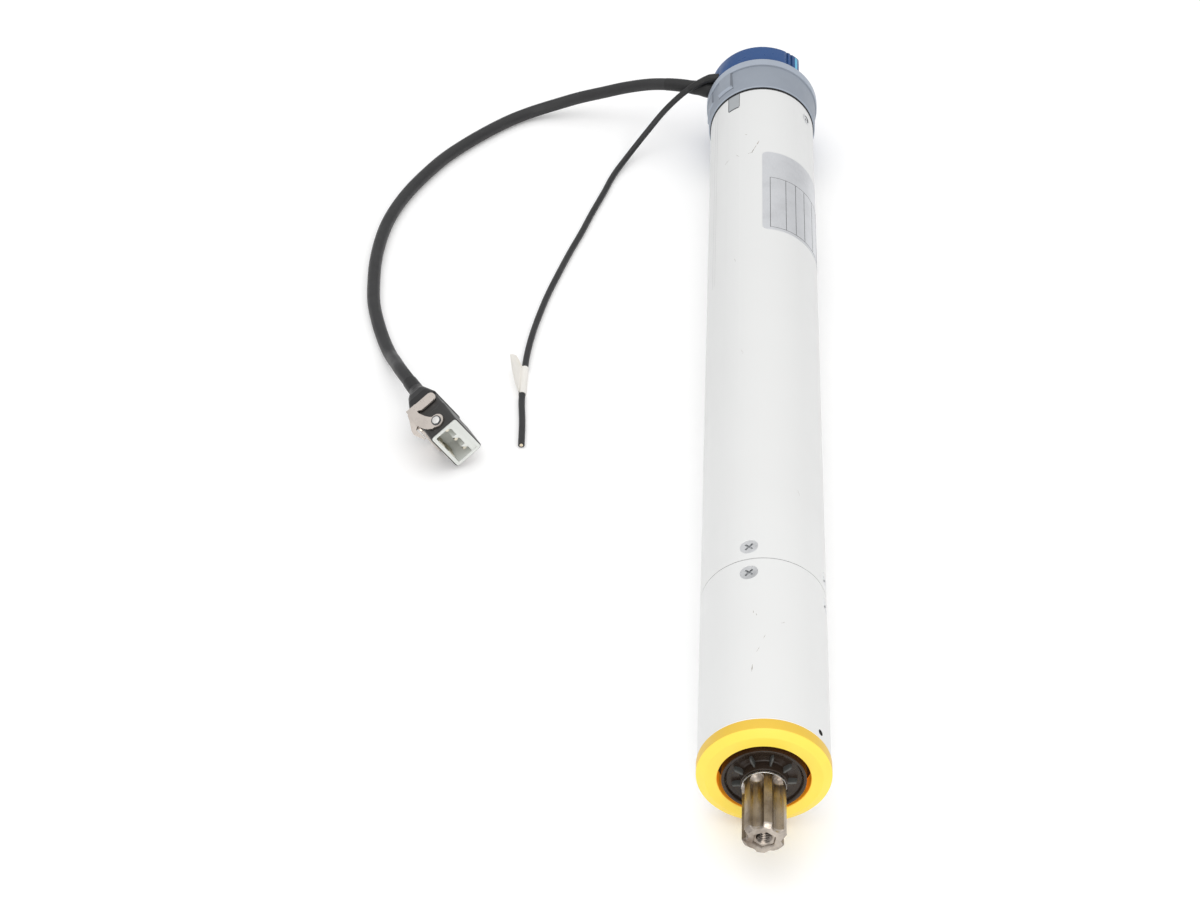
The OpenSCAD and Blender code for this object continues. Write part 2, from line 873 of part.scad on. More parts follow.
module brake_coil() {
    color([0.7, 0.35, 0.2])
        turned_ring(x_coil_0, x_coil_1, joint_in - slip, brake_hub_r);
}

module brake_armature() {
    color([0.45, 0.45, 0.47])
        turned_ring(x_armature_0, x_armature_1, joint_in - 1, brake_hub_r);
}

module brake_disc() {
    color([0.3, 0.28, 0.26])
        turned_ring(x_brake_0, x_brake_1, joint_in - 2, shaft_r + slip);
}

module shield(x0, x1) {
    difference() {
        turned_ring(x0, x1, core_r, shaft_r + 2);
        turned_rod(x0 - 1, x0 + bearing_w, bearing_r + slip);
    }
}

module front_shield() {
    color([0.68, 0.68, 0.7])
        shield(x_front_shield_0, x_front_shield_1);
}

module rear_shield() {
    color([0.68, 0.68, 0.7])
        shield(x_rear_shield_0, x_rear_shield_1);
}

module rotor_bearings() {
    color([0.8, 0.8, 0.82])
        for (x = [x_front_shield_0, x_rear_shield_0])
            turned_ring(x, x + bearing_w, bearing_r, shaft_r + fit);
}

module slot_outline(play) {
    for (k = [0 : slot_n - 1])
        rotate([0, 0, 360 * k / slot_n])
            translate([winding_in + play, -slot_w / 2 + play])
                square([slot_l - 2 * play, slot_w - 2 * play]);
}

module stator_core() {
    color([0.5, 0.5, 0.55])
        on_axis()
            translate([0, 0, x_stator_0])
                linear_extrude(stator_l)
                    difference() {
                        circle(r = core_r);
                        circle(r = stator_bore_r);
                        slot_outline(0);
                        for (k = [0 : slot_n - 1])
                            rotate([0, 0, 360 * k / slot_n])
                                translate([stator_bore_r - 1, -0.6])
                                    square([slot_lip + 2, 1.2]);
                    }
}

// Copper in the slots, joined by the end turns at both ends
module stator_winding() {
    color([0.75, 0.42, 0.22])
        union() {
            on_axis()
                translate([0, 0, x_stator_0 - 1])
                    linear_extrude(stator_l + 2)
                        slot_outline(0.2);
            for (x = [x_stator_0 - winding_l, x_stator_1 + 0.5])
                turned_ring(x, x + winding_l - 0.5, winding_out, winding_in + 0.2);
        }
}

module rotor_core() {
    color([0.6, 0.6, 0.62])
        turned_ring(x_stator_0 + 2, x_stator_1 - 2, stator_bore_r - air_gap, shaft_r + slip);
}

module rotor_shaft() {
    color([0.7, 0.7, 0.72])
        turned([
            [0, x_rear_shield_0 - 2],
            [shaft_r, x_rear_shield_0 - 2],
            [shaft_r, x_gears_0 - gap],
            [pinion_seat_r, x_gears_0 - gap],
            [pinion_seat_r, x_gears_0 + gap + gear_w[0]],
            [0, x_gears_0 + gap + gear_w[0]]
        ]);
}

// Can with two terminals, lying in the tray
module capacitor() {
    color([0.85, 0.85, 0.85])
        union() {
            turned_rod(x_capacitor_1 - capacitor_l, x_capacitor_1, capacitor_r);
            for (s = [-1, 1])
                translate([x_capacitor_1 - capacitor_l - terminal_l, s * terminal_w - terminal_w / 2,
                    axis_h - terminal_t / 2])
                    cube([terminal_l + eps, terminal_w, terminal_t]);
        }
}

// Channel in the lower half of the tube, with rails for the board and saddles
module electronics_tray() {
    rail_in = board_w / 2 - rail_lap;
    color([0.3, 0.3, 0.32])
        difference() {
            turned_ring(x_tray_0, x_tray_1, core_r, core_r - tray_wall);
            translate([x_tray_0 - 1, -tube_r, axis_h + 4])
                cube([x_tray_1 - x_tray_0 + 2, tube_d, tube_r]);
            translate([x_tray_0 - 1, -tube_r, axis_h - 4])
                cube([4, tube_d, tube_r]);
        }
    color([0.3, 0.3, 0.32])
        for (s = [-1, 1])
            intersection() {
                turned_rod(x_board_0, x_board_0 + board_l, core_r - tray_wall + eps);
                translate([x_board_0, s > 0 ? rail_in : -rail_in - rail_w, axis_h - board_drop - rail_h])
                    cube([board_l, rail_w, rail_h]);
            }
    color([0.3, 0.3, 0.32])
        for (x = [x_capacitor_1 - capacitor_l + saddle_in, x_capacitor_1 - saddle_in - saddle_w])
            intersection() {
                turned_ring(x, x + saddle_w, core_r - tray_wall + eps, capacitor_r + slip);
                translate([x - 1, -tube_r, 0])
                    cube([saddle_w + 2, tube_d, axis_h - 4]);
            }
}

// A block on the board, from its place along the board and its side in Y
module on_board(x, y, size) {
    translate([x_board_0 + x, y, axis_h - board_drop + board_t - eps])
        cube(size);
}

// Board with relays, transformer, terminal block and the radio receiver
module control_board() {
    color([0.1, 0.42, 0.25])
        translate([x_board_0, -board_w / 2 + 0.8, axis_h - board_drop])
            cube([board_l, board_w - 1.6, board_t]);
    color([0.15, 0.3, 0.5])
        for (k = [0, 1])
            on_board(relay_at + relay_pitch * k, 1 - relay[1], relay);
    color([0.2, 0.2, 0.2])
        on_board(relay_at, 4, transformer);
    color([0.2, 0.55, 0.3])
        on_board(board_l - terminals_in, -terminals[1] / 2, terminals);
    color([0.75, 0.75, 0.77])
        on_board(receiver_at, 8 - receiver[1], receiver);
}

// Fixed core of the head: spigot with key, journal for the crown, boss for the cap
module head_core() {
    x_front = x_motor_tube_0 + head_spigot_l;
    x_pocket = x_crown_1 - limit_in;
    color([0.72, 0.73, 0.74])
        difference() {
            union() {
                turned([
                    [core_bore_r, x_front],
                    [core_r - 1, x_front],
                    [core_r, x_front - 1],
                    [core_r, x_motor_tube_0],
                    [head_journal_r, x_motor_tube_0],
                    [head_journal_r, x_cap_1],
                    [boss_r, x_cap_1],
                    [boss_r, x_cap_1 - boss_l],
                    [0, x_cap_1 - boss_l],
                    [0, x_crown_0 + core_floor],
                    [core_bore_r, x_crown_0 + core_floor]
                ]);
                intersection() {
                    key_slot_shape(0, core_r - 1, tube_r + 1);
                    turned_rod(x_motor_tube_0, x_front, tube_r);
                }
            }
            around(limit_angle)
                translate([0, 0, limit_at_r])
                    rotate([0, 90, 0]) {
                        translate([0, 0, x_pocket - limit_w - gap])
                            cylinder(h = limit_w + 2 * gap, r = limit_pocket_r);
                        translate([0, 0, x_pocket - limit_w - gap - 2])
                            cylinder(h = total_l, r = limit_shaft_r + fit);
                    }
            radial_hole(x_motor_tube_0 + fixing_in, fixing_angle, fixing_r + slip,
                core_bore_r + 3, tube_r);
            for (s = [0, 180])
                around(s)
                    translate([x_cap_0 - 1, 0, head_screw_at])
                        rotate([0, 90, 0])
                            cylinder(h = head_screw_l + 2, r = head_screw_r + slip);
        }
}

module crown_washer() {
    color([0.12, 0.12, 0.13])
        turned_ring(x_motor_tube_0 - crown_washer_w, x_motor_tube_0, tube_r + 0.2, head_journal_r + slip);
}

// Idler that the blind's tube drives: band, rim, two pads and inner teeth
module crown_ring() {
    p = limit_m * limit_z / 2;
    x_teeth = x_crown_1 - limit_in;
    groove_r = p + limit_ded + 0.3;
    color([0.62, 0.65, 0.7])
        union() {
            turned([
                [crown_bore_r + 0.3, x_crown_1],
                [crown_r - 0.5, x_crown_1],
                [crown_r, x_crown_1 - 0.5],
                [crown_r + crown_swell, x_crown_0 + crown_rim_w + 1],
                [crown_rim_r - 0.3, x_crown_0 + crown_rim_w],
                [crown_rim_r, x_crown_0 + crown_rim_w - 0.5],
                [crown_rim_r, x_crown_0 + 0.8],
                [crown_rim_r - 0.8, x_crown_0],
                [crown_bore_r + 0.3, x_crown_0],
                [crown_bore_r, x_crown_0 + 0.3],
                [crown_bore_r, x_teeth - limit_w - gap],
                [groove_r, x_teeth - limit_w - gap],
                [groove_r, x_teeth + gap],
                [crown_bore_r, x_teeth + gap],
                [crown_bore_r, x_crown_1 - 0.3]
            ]);
            for (a = pads)
                sector(x_crown_0 + 1, x_crown_1 - pad_front, crown_r - 1, crown_rim_r - 0.1, a[0], a[1]);
            on_axis()
                translate([0, 0, x_teeth - limit_w])
                    rotate([0, 0, 180 - limit_angle])
                        linear_extrude(limit_w)
                            difference() {
                                circle(r = groove_r + 1);
                                gear_outline(limit_z, limit_m,
                                    [p - limit_add, p, p + limit_ded], -flank_play);
                            }
        }
}

module encoder_pinion() {
    x_teeth = x_crown_1 - limit_in;
    x_end = x_motor_tube_0 + head_spigot_l + gap;
    color([0.85, 0.84, 0.78])
        around(limit_angle)
            translate([0, 0, limit_at_r])
                rotate([0, 90, 0]) {
                    translate([0, 0, x_teeth - limit_w])
                        rotate([0, 0, 180])
                            linear_extrude(limit_w)
                                gear_outline(limit_pinion_z, limit_m,
                                    outer_radii(limit_pinion_z, limit_m, limit_add, limit_ded), flank_play);
                    translate([0, 0, x_teeth - limit_w - 1.5])
                        cylinder(h = x_end + magnet_w - x_teeth + limit_w + 1.5, r = limit_shaft_r);
                    translate([0, 0, x_end])
                        cylinder(h = magnet_w, r = magnet_r);
                }
}

// Outline of the cap: round, with a flat on one side and rounded corners beside it
module cap_outline() {
    corner_y = head_flat - cap_flat_round;
    corner_x = sqrt(pow(cap_r - cap_flat_round, 2) - pow(corner_y, 2));
    touch_y = corner_y * cap_r / (cap_r - cap_flat_round);
    union() {
        intersection() {
            circle(r = cap_r);
            translate([-cap_r - 1, -cap_r - 1])
                square([2 * cap_r + 2, cap_r + 1 + touch_y]);
        }
        translate([-corner_x, 0])
            square([2 * corner_x, head_flat]);
        for (s = [-1, 1])
            translate([s * corner_x, corner_y])
                circle(r = cap_flat_round);
    }
}

// Blue cap on the bracket side, with a flat side and two shallow grooves
module head_cap() {
    color([0.26, 0.37, 0.58])
        difference() {
            intersection() {
                turned(concat(
                    [[0, x_cap_1 - boss_l - slip], [boss_r + slip, x_cap_1 - boss_l - slip]],
                    [[boss_r + slip, x_cap_1], [cap_r - 0.4, x_cap_1], [cap_r, x_cap_1 - 0.4]],
                    [for (a = [0 : -15 : -90])
                        [cap_r - cap_round + cap_round * cos(a), x_cap_0 + cap_round + cap_round * sin(a)]],
                    [[0, x_cap_0]]));
                on_axis()
                    translate([0, 0, x_cap_0 - 1])
                        linear_extrude(head_cap_l + 2)
                            cap_outline();
            }
            for (a = cap_grooves)
                around(a)
                    translate([x_cap_0 - 1, -cap_groove_w / 2, cap_r - cap_groove_l])
                        cube([head_cap_l + 2, cap_groove_w, 3]);
            for (k = [0 : mount_n - 1])
                around(mount_first + 360 * k / mount_n)
                    translate([x_cap_0 - 1, 0, mount_pcd / 2])
                        rotate([0, 90, 0])
                            cylinder(h = mount_hole_l + 1, r = mount_hole_d / 2);
            for (s = [0, 180])
                around(s)
                    translate([x_cap_0 - 1, 0, head_screw_at])
                        rotate([0, 90, 0]) {
                            cylinder(h = head_cap_l + 2, r = head_screw_r + slip);
                            cylinder(h = head_screw_sunk + 1, r = head_screw_head_r + slip);
                        }
            from_cap() {
                translate([gland_x, gland_in, gland_z])
                    rotate([90, 0, 0])
                        cylinder(h = cap_r, r = gland_d / 2 + slip);
                translate([antenna_x, antenna_in, antenna_z])
                    rotate([90, 0, 0])
                        cylinder(h = cap_r, r = antenna_gland_d / 2 + slip);
            }
        }
}

module head_screws() {
    color([0.6, 0.6, 0.6])
        for (s = [0, 180])
            around(s)
                translate([x_cap_0 + head_screw_sunk - head_screw_head_l, 0, head_screw_at])
                    rotate([0, 90, 0])
                        difference() {
                            union() {
                                cylinder(h = head_screw_head_l, r = head_screw_head_r);
                                cylinder(h = head_screw_l, r = head_screw_r);
                            }
                            for (a = [0, 90])
                                rotate([0, 0, a])
                                    translate([-head_cross_l / 2, -head_cross_w / 2, -1])
                                        cube([head_cross_l, head_cross_w, head_cross_depth + 1]);
                        }
}

// Screw that holds the head in the motor tube, a quarter turn from the key
module fixing_screw() {
    color([0.75, 0.77, 0.77])
        around(fixing_angle)
            translate([x_motor_tube_0 + fixing_in, 0, 0])
                union() {
                    translate([0, 0, tube_in])
                        cylinder(h = tube_wall - 0.3, r = fixing_head_r);
                    translate([0, 0, core_bore_r + 4])
                        cylinder(h = tube_in - core_bore_r - 4 + eps, r = fixing_r);
                }
}

// Strain relief: a plug in the cap's side and a flared neck
module cable_gland() {
    flare_h = (gland_d - cable_d) / 2 - 0.3;
    flare_l = gland_neck - gland_end;
    color([0.2, 0.2, 0.2])
        from_cap()
            translate([gland_x, 0, gland_z])
                rotate([90, 0, 0])
                    rotate_extrude()
                        polygon(concat(
                            [[0, -gland_in], [gland_d / 2, -gland_in]],
                            [for (a = [0 : 15 : 90])
                                [gland_d / 2 - flare_h * sin(a), -gland_end - flare_l * cos(a)]],
                            [[0, -gland_end]]));
}

module antenna_gland() {
    color([0.18, 0.18, 0.18])
        from_cap()
            translate([antenna_x, antenna_in, antenna_z])
                rotate([90, 0, 0])
                    cylinder(h = antenna_in - antenna_end, r = antenna_gland_d / 2);
}

// A cord swept along its route, closed by flat ends
module cord(route, r, sides, first_dir, last_dir) {
    n = len(route);
    rings = [for (i = [0 : n - 1])
        ring_at(route[i], i == 0 ? first_dir : i == n - 1 ? last_dir : route_dir(route, i), r, sides)];
    polyhedron(
        points = [for (ring = rings) each ring],
        faces = concat(
            [[for (k = [0 : sides - 1]) sides - 1 - k]],
            [[for (k = [0 : sides - 1]) (n - 1) * sides + k]],
            [for (i = [0 : n - 2]) for (k = [0 : sides - 1]) let(j = (k + 1) % sides)
                each [
                    [i * sides + k, i * sides + j, (i + 1) * sides + j],
                    [i * sides + k, (i + 1) * sides + j, (i + 1) * sides + k]
                ]]));
}

module power_cable() {
    color([0.24, 0.24, 0.24])
        from_cap()
            cord(concat([cable_start], cable_route, [cable_end]), cable_d / 2, cable_sides,
                [0, -1, 0], plug_dir);
}

module antenna_cable() {
    color([0.22, 0.22, 0.23])
        from_cap()
            cord(smooth(concat([antenna_start], antenna_route)), antenna_d / 2, antenna_sides,
                [0, -1, 0], [1, 0, 0]);
}

// Paper flag folded round the antenna cable
module antenna_tag() {
    color([0.9, 0.89, 0.86])
        from_cap()
            translate([tag_x, tag_y, tag_z])
                rotate([90, 0, 90])
                    linear_extrude(tag_l)
                        difference() {
                            union() {
                                circle(r = tag_r);
                                rotate(-tag_tilt)
                                    translate([-tag_w - tag_r, -tag_t])
                                        square([tag_w + tag_r, 2 * tag_t]);
                            }
                            circle(r = tag_r - tag_t);
                        }
}

module in_plug() {
    from_cap()
        translate(plug_at)
            rotate([0, 0, plug_yaw])
                rotate([plug_roll, 0, 0])
                    children();
}

// A block with rounded long edges, along X between two places
module rounded_block(x0, x1, t, w, r) {
    translate([x0, 0, 0])
        rotate([90, 0, 90])
            linear_extrude(x1 - x0)
                union() {
                    square([t - 2 * r, w], center = true);
                    square([t, w - 2 * r], center = true);
                    for (sy = [-1, 1])
                        for (sz = [-1, 1])
                            translate([sy * (t / 2 - r), sz * (w / 2 - r)])
                                circle(r = r, $fn = 32);
                }
}

// Slice of the boot at a share of its taper: the thickness drops early, the width late
module boot_slice(u) {
    t = boot_neck_d + (plug_t - 2 * boot_step - boot_neck_d) * pow(1 - u, 2);
    w = boot_neck_d + (plug_w - 2 * boot_step - boot_neck_d) * (1 + cos(180 * pow(u, 1.5))) / 2;
    x = -plug_l - boot_taper_l * u;
    rounded_block(x - 0.2, x, t, w, plug_corner + (boot_neck_d / 2 - 0.1 - plug_corner) * u);
}

// Boot, flat and wide at the body and round at the cable
module plug_boot() {
    color([0.36, 0.36, 0.36])
        in_plug()
            union() {
                for (i = [0 : boot_taper_n - 1])
                    hull() {
                        boot_slice(i / boot_taper_n);
                        boot_slice((i + 1) / boot_taper_n);
                    }
                hull() {
                    boot_slice(1);
                    translate([-plug_l - boot_l, 0, 0])
                        rotate([0, 90, 0])
                            cylinder(h = 0.5, r = boot_end_d / 2, $fn = 32);
                }
            }
}

// Shell round the white insert, with a lug for the clip on each narrow side
module plug_body() {
    color([0.2, 0.2, 0.2])
        in_plug()
            difference() {
                union() {
                    rounded_block(-mouth_l, 0, plug_t, plug_w, plug_corner);
                    rounded_block(-plug_l, -mouth_l + eps, plug_t - 2 * plug_step, plug_w - 2 * plug_step,
                        plug_corner);
                    rounded_block(-plug_l, -plug_l + 1.6, plug_t, plug_w, plug_corner);
                    translate([lug_x, 0, -plug_w / 2 - lug_out])
                        cylinder(h = plug_w + 2 * lug_out, r = lug_d / 2);
                }
                rounded_block(-socket_l - 2, -flange_l, plug_t - 2 * plug_wall, plug_w - 2 * plug_wall, 1.2);
                rounded_block(-flange_l - eps, 1, plug_t - 2 * flange_wall, plug_w - 2 * flange_wall, 1.4);
            }
}

// White insert: thin rim, socket and a stepped wall beside the contacts
module plug_insert() {
    t = plug_t - 2 * plug_wall - 2 * slip;
    w = plug_w - 2 * plug_wall - 2 * slip;
    in_t = t - 2 * insert_wall;
    in_w = w - 2 * insert_wall;
    color([0.93, 0.95, 0.92])
        in_plug()
            difference() {
                union() {
                    rounded_block(-socket_l - 2 + slip, 0.3, t, w, 1.1);
                    rounded_block(-flange_l + slip, 0.3, plug_t - 2 * flange_wall - 2 * slip,
                        plug_w - 2 * flange_wall - 2 * slip, 1.3);
                }
                difference() {
                    rounded_block(-socket_l, 2, in_t, in_w, socket_corner);
                    translate([-socket_l - 1, in_t / 2 - step_wall, 0])
                        rotate([0, 90, 0])
                            linear_extrude(socket_l + 1)
                                keyed_wall(in_w);
                }
                contact_places()
                    translate([0, 0, -socket_l - 3])
                        cylinder(h = 4, r = contact_r + slip);
            }
}

// Outline of the stepped wall: a notch beside each contact
module keyed_wall(w) {
    h = contact_pitch / 2;
    union() {
        translate([-w / 2, 0])
            square([w, step_wall + 1]);
        for (k = [-1, 0, 1])
            polygon([
                [k * contact_pitch - h, -0.01],
                [k * contact_pitch - h + 3.4, -0.01],
                [k * contact_pitch - h, -2.6]
            ]);
    }
}

module contact_places() {
    for (k = [-1, 0, 1])
        translate([0, contact_y, k * contact_pitch])
            rotate([0, 90, 0])
                children();
}

module plug_pins() {
    color([0.8, 0.75, 0.55])
        in_plug()
            contact_places()
                translate([0, 0, -socket_l - 1.9])
                    cylinder(h = socket_l + 1.9 - contact_in, r = contact_r);
}

// Two bent earth springs on the wide wall opposite the contacts
module plug_earth_spring() {
    wall_y = -(plug_t / 2 - plug_wall - slip - insert_wall);
    color([0.75, 0.74, 0.7])
        in_plug()
            for (s = [-1, 1])
                translate([0, 0, s * 5 - 3])
                    linear_extrude(6)
                        polygon([
                            [-socket_l + 0.05, wall_y + 0.02],
                            [-1.2, wall_y + 0.02],
                            [-1.2, wall_y + 0.42],
                            [-3, wall_y + 0.5],
                            [-6, wall_y + 1.5],
                            [-9, wall_y + 0.5],
                            [-socket_l + 0.05, wall_y + 0.42]
                        ]);
}

// Side plate: an eye round the lug, an arm back to the bridge and a finger beside it
module clip_side() {
    edge_y = -plug_t / 2 - clip_gap - clip_t;
    finger_x = bridge_x + 0.3;
    difference() {
        union() {
            translate([lug_x, 0])
                circle(r = clip_eye_r);
            polygon([
                [lug_x - 2.4, 2.6],
                [lug_x - 2.9, 0.2],
                [lug_x - 5, -1.7],
                [lug_x - 7.4, -3.1],
                [finger_x + finger_w + 0.5, -4.8],
                [finger_x + finger_w - 1, -4.9],
                [finger_x + finger_w - 1.2, -4.2],
                [finger_x + finger_w, -2.8],
                [finger_x + finger_w, finger_y],
                [finger_x, finger_y],
                [finger_x, -3.2],
                [bridge_x, -3.9],
                [bridge_x, edge_y],
                [bridge_x + bridge_l, edge_y],
                [lug_x - 2.6, -7.7],
                [lug_x + 0.5, -6.1],
                [lug_x + 2.6, -4.1],
                [lug_x + 2.6, -2.7]
            ]);
            translate([finger_x + finger_w / 2, finger_y])
                circle(r = finger_w / 2);
        }
        translate([lug_x, 0])
            circle(r = lug_d / 2 + fit);
    }
}

// Bowed lever for the thumb, with rounded corners at its free end
module clip_lever() {
    edge_y = -plug_t / 2 - clip_gap - clip_t;
    bow = [for (u = [0 : 0.125 : 1]) [lever_x + lever_l * u, edge_y - lever_h * sin(135 * u)]];
    intersection() {
        translate([0, 0, -lever_w / 2])
            linear_extrude(lever_w)
                polygon(concat(bow, [for (i = [len(bow) - 1 : -1 : 0]) bow[i] + [0, clip_t]]));
        rotate([90, 0, 0])
            linear_extrude(plug_t)
                union() {
                    translate([lever_x, -lever_w / 2])
                        square([lever_l - lever_round, lever_w]);
                    translate([lever_x, lever_round - lever_w / 2])
                        square([lever_l, lever_w - 2 * lever_round]);
                    for (s = [-1, 1])
                        translate([lever_x + lever_l - lever_round, s * (lever_w / 2 - lever_round)])
                            circle(r = lever_round);
                }
    }
}

// Steel clip: two sides on the lugs, a bridge over the wide side and a lever
module plug_clip() {
    side_z = plug_w / 2 + clip_gap;
    edge_y = -plug_t / 2 - clip_gap - clip_t;
    color([0.75, 0.7, 0.66])
        in_plug()
            union() {
                for (z = [side_z, -side_z - clip_t])
                    translate([0, 0, z])
                        linear_extrude(clip_t)
                            clip_side();
                translate([bridge_x, edge_y, -side_z - clip_t])
                    cube([fold_l, clip_t, 2 * side_z + 2 * clip_t]);
                clip_lever();
            }
}

gear_tube();
motor_tube();
joint_collar();
seam_screws();
end_ring();
output_cover();
output_bush();
drive_shaft();
thrust_washer();
ring_gear();
carrier_3();
carrier_2();
carrier_1();
planet_pins(2);  // planet_pins_3
planet_pins(1);  // planet_pins_2
planet_pins(0);  // planet_pins_1
planet(2, 0);  // planet_3a
planet(2, 1);  // planet_3b
planet(2, 2);  // planet_3c
planet(1, 0);  // planet_2a
planet(1, 1);  // planet_2b
planet(1, 2);  // planet_2c
planet(0, 0);  // planet_1a
planet(0, 1);  // planet_1b
planet(0, 2);  // planet_1c
motor_pinion();
gearbox_plate();
brake_coil();
brake_armature();
brake_disc();
front_shield();
rear_shield();
rotor_bearings();
stator_core();
stator_winding();
rotor_core();
rotor_shaft();
capacitor();
electronics_tray();
control_board();
head_core();
crown_washer();
crown_ring();
head_cap();
head_screws();
fixing_screw();
encoder_pinion();
cable_gland();
antenna_gland();
power_cable();
antenna_cable();
antenna_tag();
plug_boot();
plug_body();
plug_insert();
plug_pins();
plug_earth_spring();
plug_clip();
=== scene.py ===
"""Looks of a tubular roller blind drive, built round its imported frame. Metres throughout."""
import json
import math

import bmesh
import bpy
from mathutils import Matrix, Vector, noise


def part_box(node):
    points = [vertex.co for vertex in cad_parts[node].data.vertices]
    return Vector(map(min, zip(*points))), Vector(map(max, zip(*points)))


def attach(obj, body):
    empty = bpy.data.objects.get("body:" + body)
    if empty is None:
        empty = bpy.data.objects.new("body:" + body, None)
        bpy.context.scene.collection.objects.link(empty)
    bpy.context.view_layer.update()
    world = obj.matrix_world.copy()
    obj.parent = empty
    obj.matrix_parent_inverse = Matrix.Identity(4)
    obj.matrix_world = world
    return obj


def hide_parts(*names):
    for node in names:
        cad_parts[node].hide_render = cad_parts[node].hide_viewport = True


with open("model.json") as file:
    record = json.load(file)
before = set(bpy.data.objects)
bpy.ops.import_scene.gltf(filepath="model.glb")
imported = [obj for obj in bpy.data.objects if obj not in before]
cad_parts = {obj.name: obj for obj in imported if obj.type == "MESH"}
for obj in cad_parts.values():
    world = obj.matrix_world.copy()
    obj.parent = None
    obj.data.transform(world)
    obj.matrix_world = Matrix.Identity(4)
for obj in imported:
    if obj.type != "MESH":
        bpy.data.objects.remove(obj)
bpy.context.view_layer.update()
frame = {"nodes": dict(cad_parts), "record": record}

MM = 0.001

# Places read from the frame: the ring's face, the cap's back face and the drive's axis
FACE_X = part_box("end_ring")[1].x
CAP_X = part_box("head_cap")[0].x
AXIS_Z = (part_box("motor_tube")[1].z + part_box("motor_tube")[0].z) / 2
TUBE_R = 29.0  # mm


# Small helpers

def mm(value):
    """Millimetres to metres."""
    return value * MM


def link(obj):
    """Puts an object into the scene."""
    bpy.context.scene.collection.objects.link(obj)
    return obj


# Camera, fitted to the photograph

PHOTO_WIDTH, FOCAL_PIXELS = 1200, 2668.39
SENSOR = 36
CAMERA_AT = (0.778799, -0.043615, 0.853408)  # from the ring's face on the axis
CAMERA_TURN = (0.0365251, 0.7103606, 0.0115256)  # yaw, pitch and roll in radians


def make_camera():
    """The photograph's camera, looking along the drive from above its free end."""
    yaw, pitch, roll = CAMERA_TURN
    place = Vector((FACE_X, 0, AXIS_Z)) + Vector(CAMERA_AT)
    level = Vector((-math.sin(yaw), math.cos(yaw), 0))
    ahead = Vector((-math.cos(yaw), -math.sin(yaw), 0))
    forward = ahead * math.cos(pitch) - Vector((0, 0, math.sin(pitch)))
    upright = level.cross(forward)
    right = level * math.cos(roll) + upright * math.sin(roll)
    up = upright * math.cos(roll) - level * math.sin(roll)
    data = bpy.data.cameras.new("camera")
    data.sensor_width = SENSOR
    data.lens = SENSOR * FOCAL_PIXELS / PHOTO_WIDTH
    data.clip_start, data.clip_end = 0.01, 50
    camera = link(bpy.data.objects.new("camera", data))
    axes = Matrix((right, up, -forward)).transposed().to_4x4()
    camera.matrix_world = Matrix.Translation(place) @ axes
    bpy.context.scene.camera = camera


make_camera()


# Materials

class Nodes:
    """A material's node tree, with short calls to add and join nodes."""

    def __init__(self, name):
        self.material = bpy.data.materials.new(name)
        self.material.use_nodes = True
        self.tree = self.material.node_tree
        self.shader = self.tree.nodes["Principled BSDF"]
        self.place = None

    def add(self, kind):
        """A new node of that kind."""
        return self.tree.nodes.new(kind)

    def join(self, output, target):
        """A link from one node's output to another's input."""
        self.tree.links.new(output, target)

    def coords(self):
        """The object's own coordinates, asked for once."""
        if self.place is None:
            self.place = self.add("ShaderNodeTexCoord").outputs["Object"]
        return self.place

    def scaled(self, scale):
        """Coordinates stretched along the axes."""
        node = self.add("ShaderNodeMapping")
        node.inputs["Scale"].default_value = scale
        self.join(self.coords(), node.inputs["Vector"])
        return node.outputs["Vector"]

    def noise(self, scale, detail, roughness=0.55, stretch=None):
        """Noise of so many waves a metre, stretched along the axes where asked."""
        node = self.add("ShaderNodeTexNoise")
        node.inputs["Scale"].default_value = scale
        node.inputs["Detail"].default_value = detail
        node.inputs["Roughness"].default_value = roughness
        self.join(self.scaled(stretch) if stretch else self.coords(), node.inputs["Vector"])
        return node.outputs["Fac"]

    def ramp(self, value, stops):
        """Colours at positions, between which the value fades."""
        node = self.add("ShaderNodeValToRGB")
        elements = node.color_ramp.elements
        elements[0].position, elements[1].position = stops[0][0], stops[-1][0]
        for stop in stops[1:-1]:
            elements.new(stop[0])
        for element, stop in zip(elements, stops):
            element.color = (*stop[1], 1)
        self.join(value, node.inputs["Fac"])
        return node.outputs["Color"]

    def spread(self, value, low, high, start=0.3, end=0.7):
        """The value's range from start to end, turned into low to high."""
        node = self.add("ShaderNodeMapRange")
        node.inputs["From Min"].default_value, node.inputs["From Max"].default_value = start, end
        node.inputs["To Min"].default_value, node.inputs["To Max"].default_value = low, high
        self.join(value, node.inputs["Value"])
        return node.outputs["Result"]

    def mix(self, fac, below, above):
        """A colour laid over another by a mask; the numbers are the node's colour sockets."""
        node = self.add("ShaderNodeMix")
        node.data_type = "RGBA"
        self.join(fac, node.inputs[0])
        self.join(below, node.inputs[6])
        node.inputs[7].default_value = (*above, 1)
        return node.outputs[2]

    def bump(self, height, strength, distance):
        """A surface raised by a height, in metres."""
        node = self.add("ShaderNodeBump")
        node.inputs["Strength"].default_value = strength
        node.inputs["Distance"].default_value = distance
        self.join(height, node.inputs["Height"])
        return node.outputs["Normal"]


def shade(colour, change):
    """The colour made lighter or darker by a share."""
    return tuple(min(1.0, max(0.0, c * (1 + change))) for c in colour)


DUST = (0.5, 0.49, 0.47)
STREAK = (0.62, 0.61, 0.6)
MARK = (0.5, 0.49, 0.48)


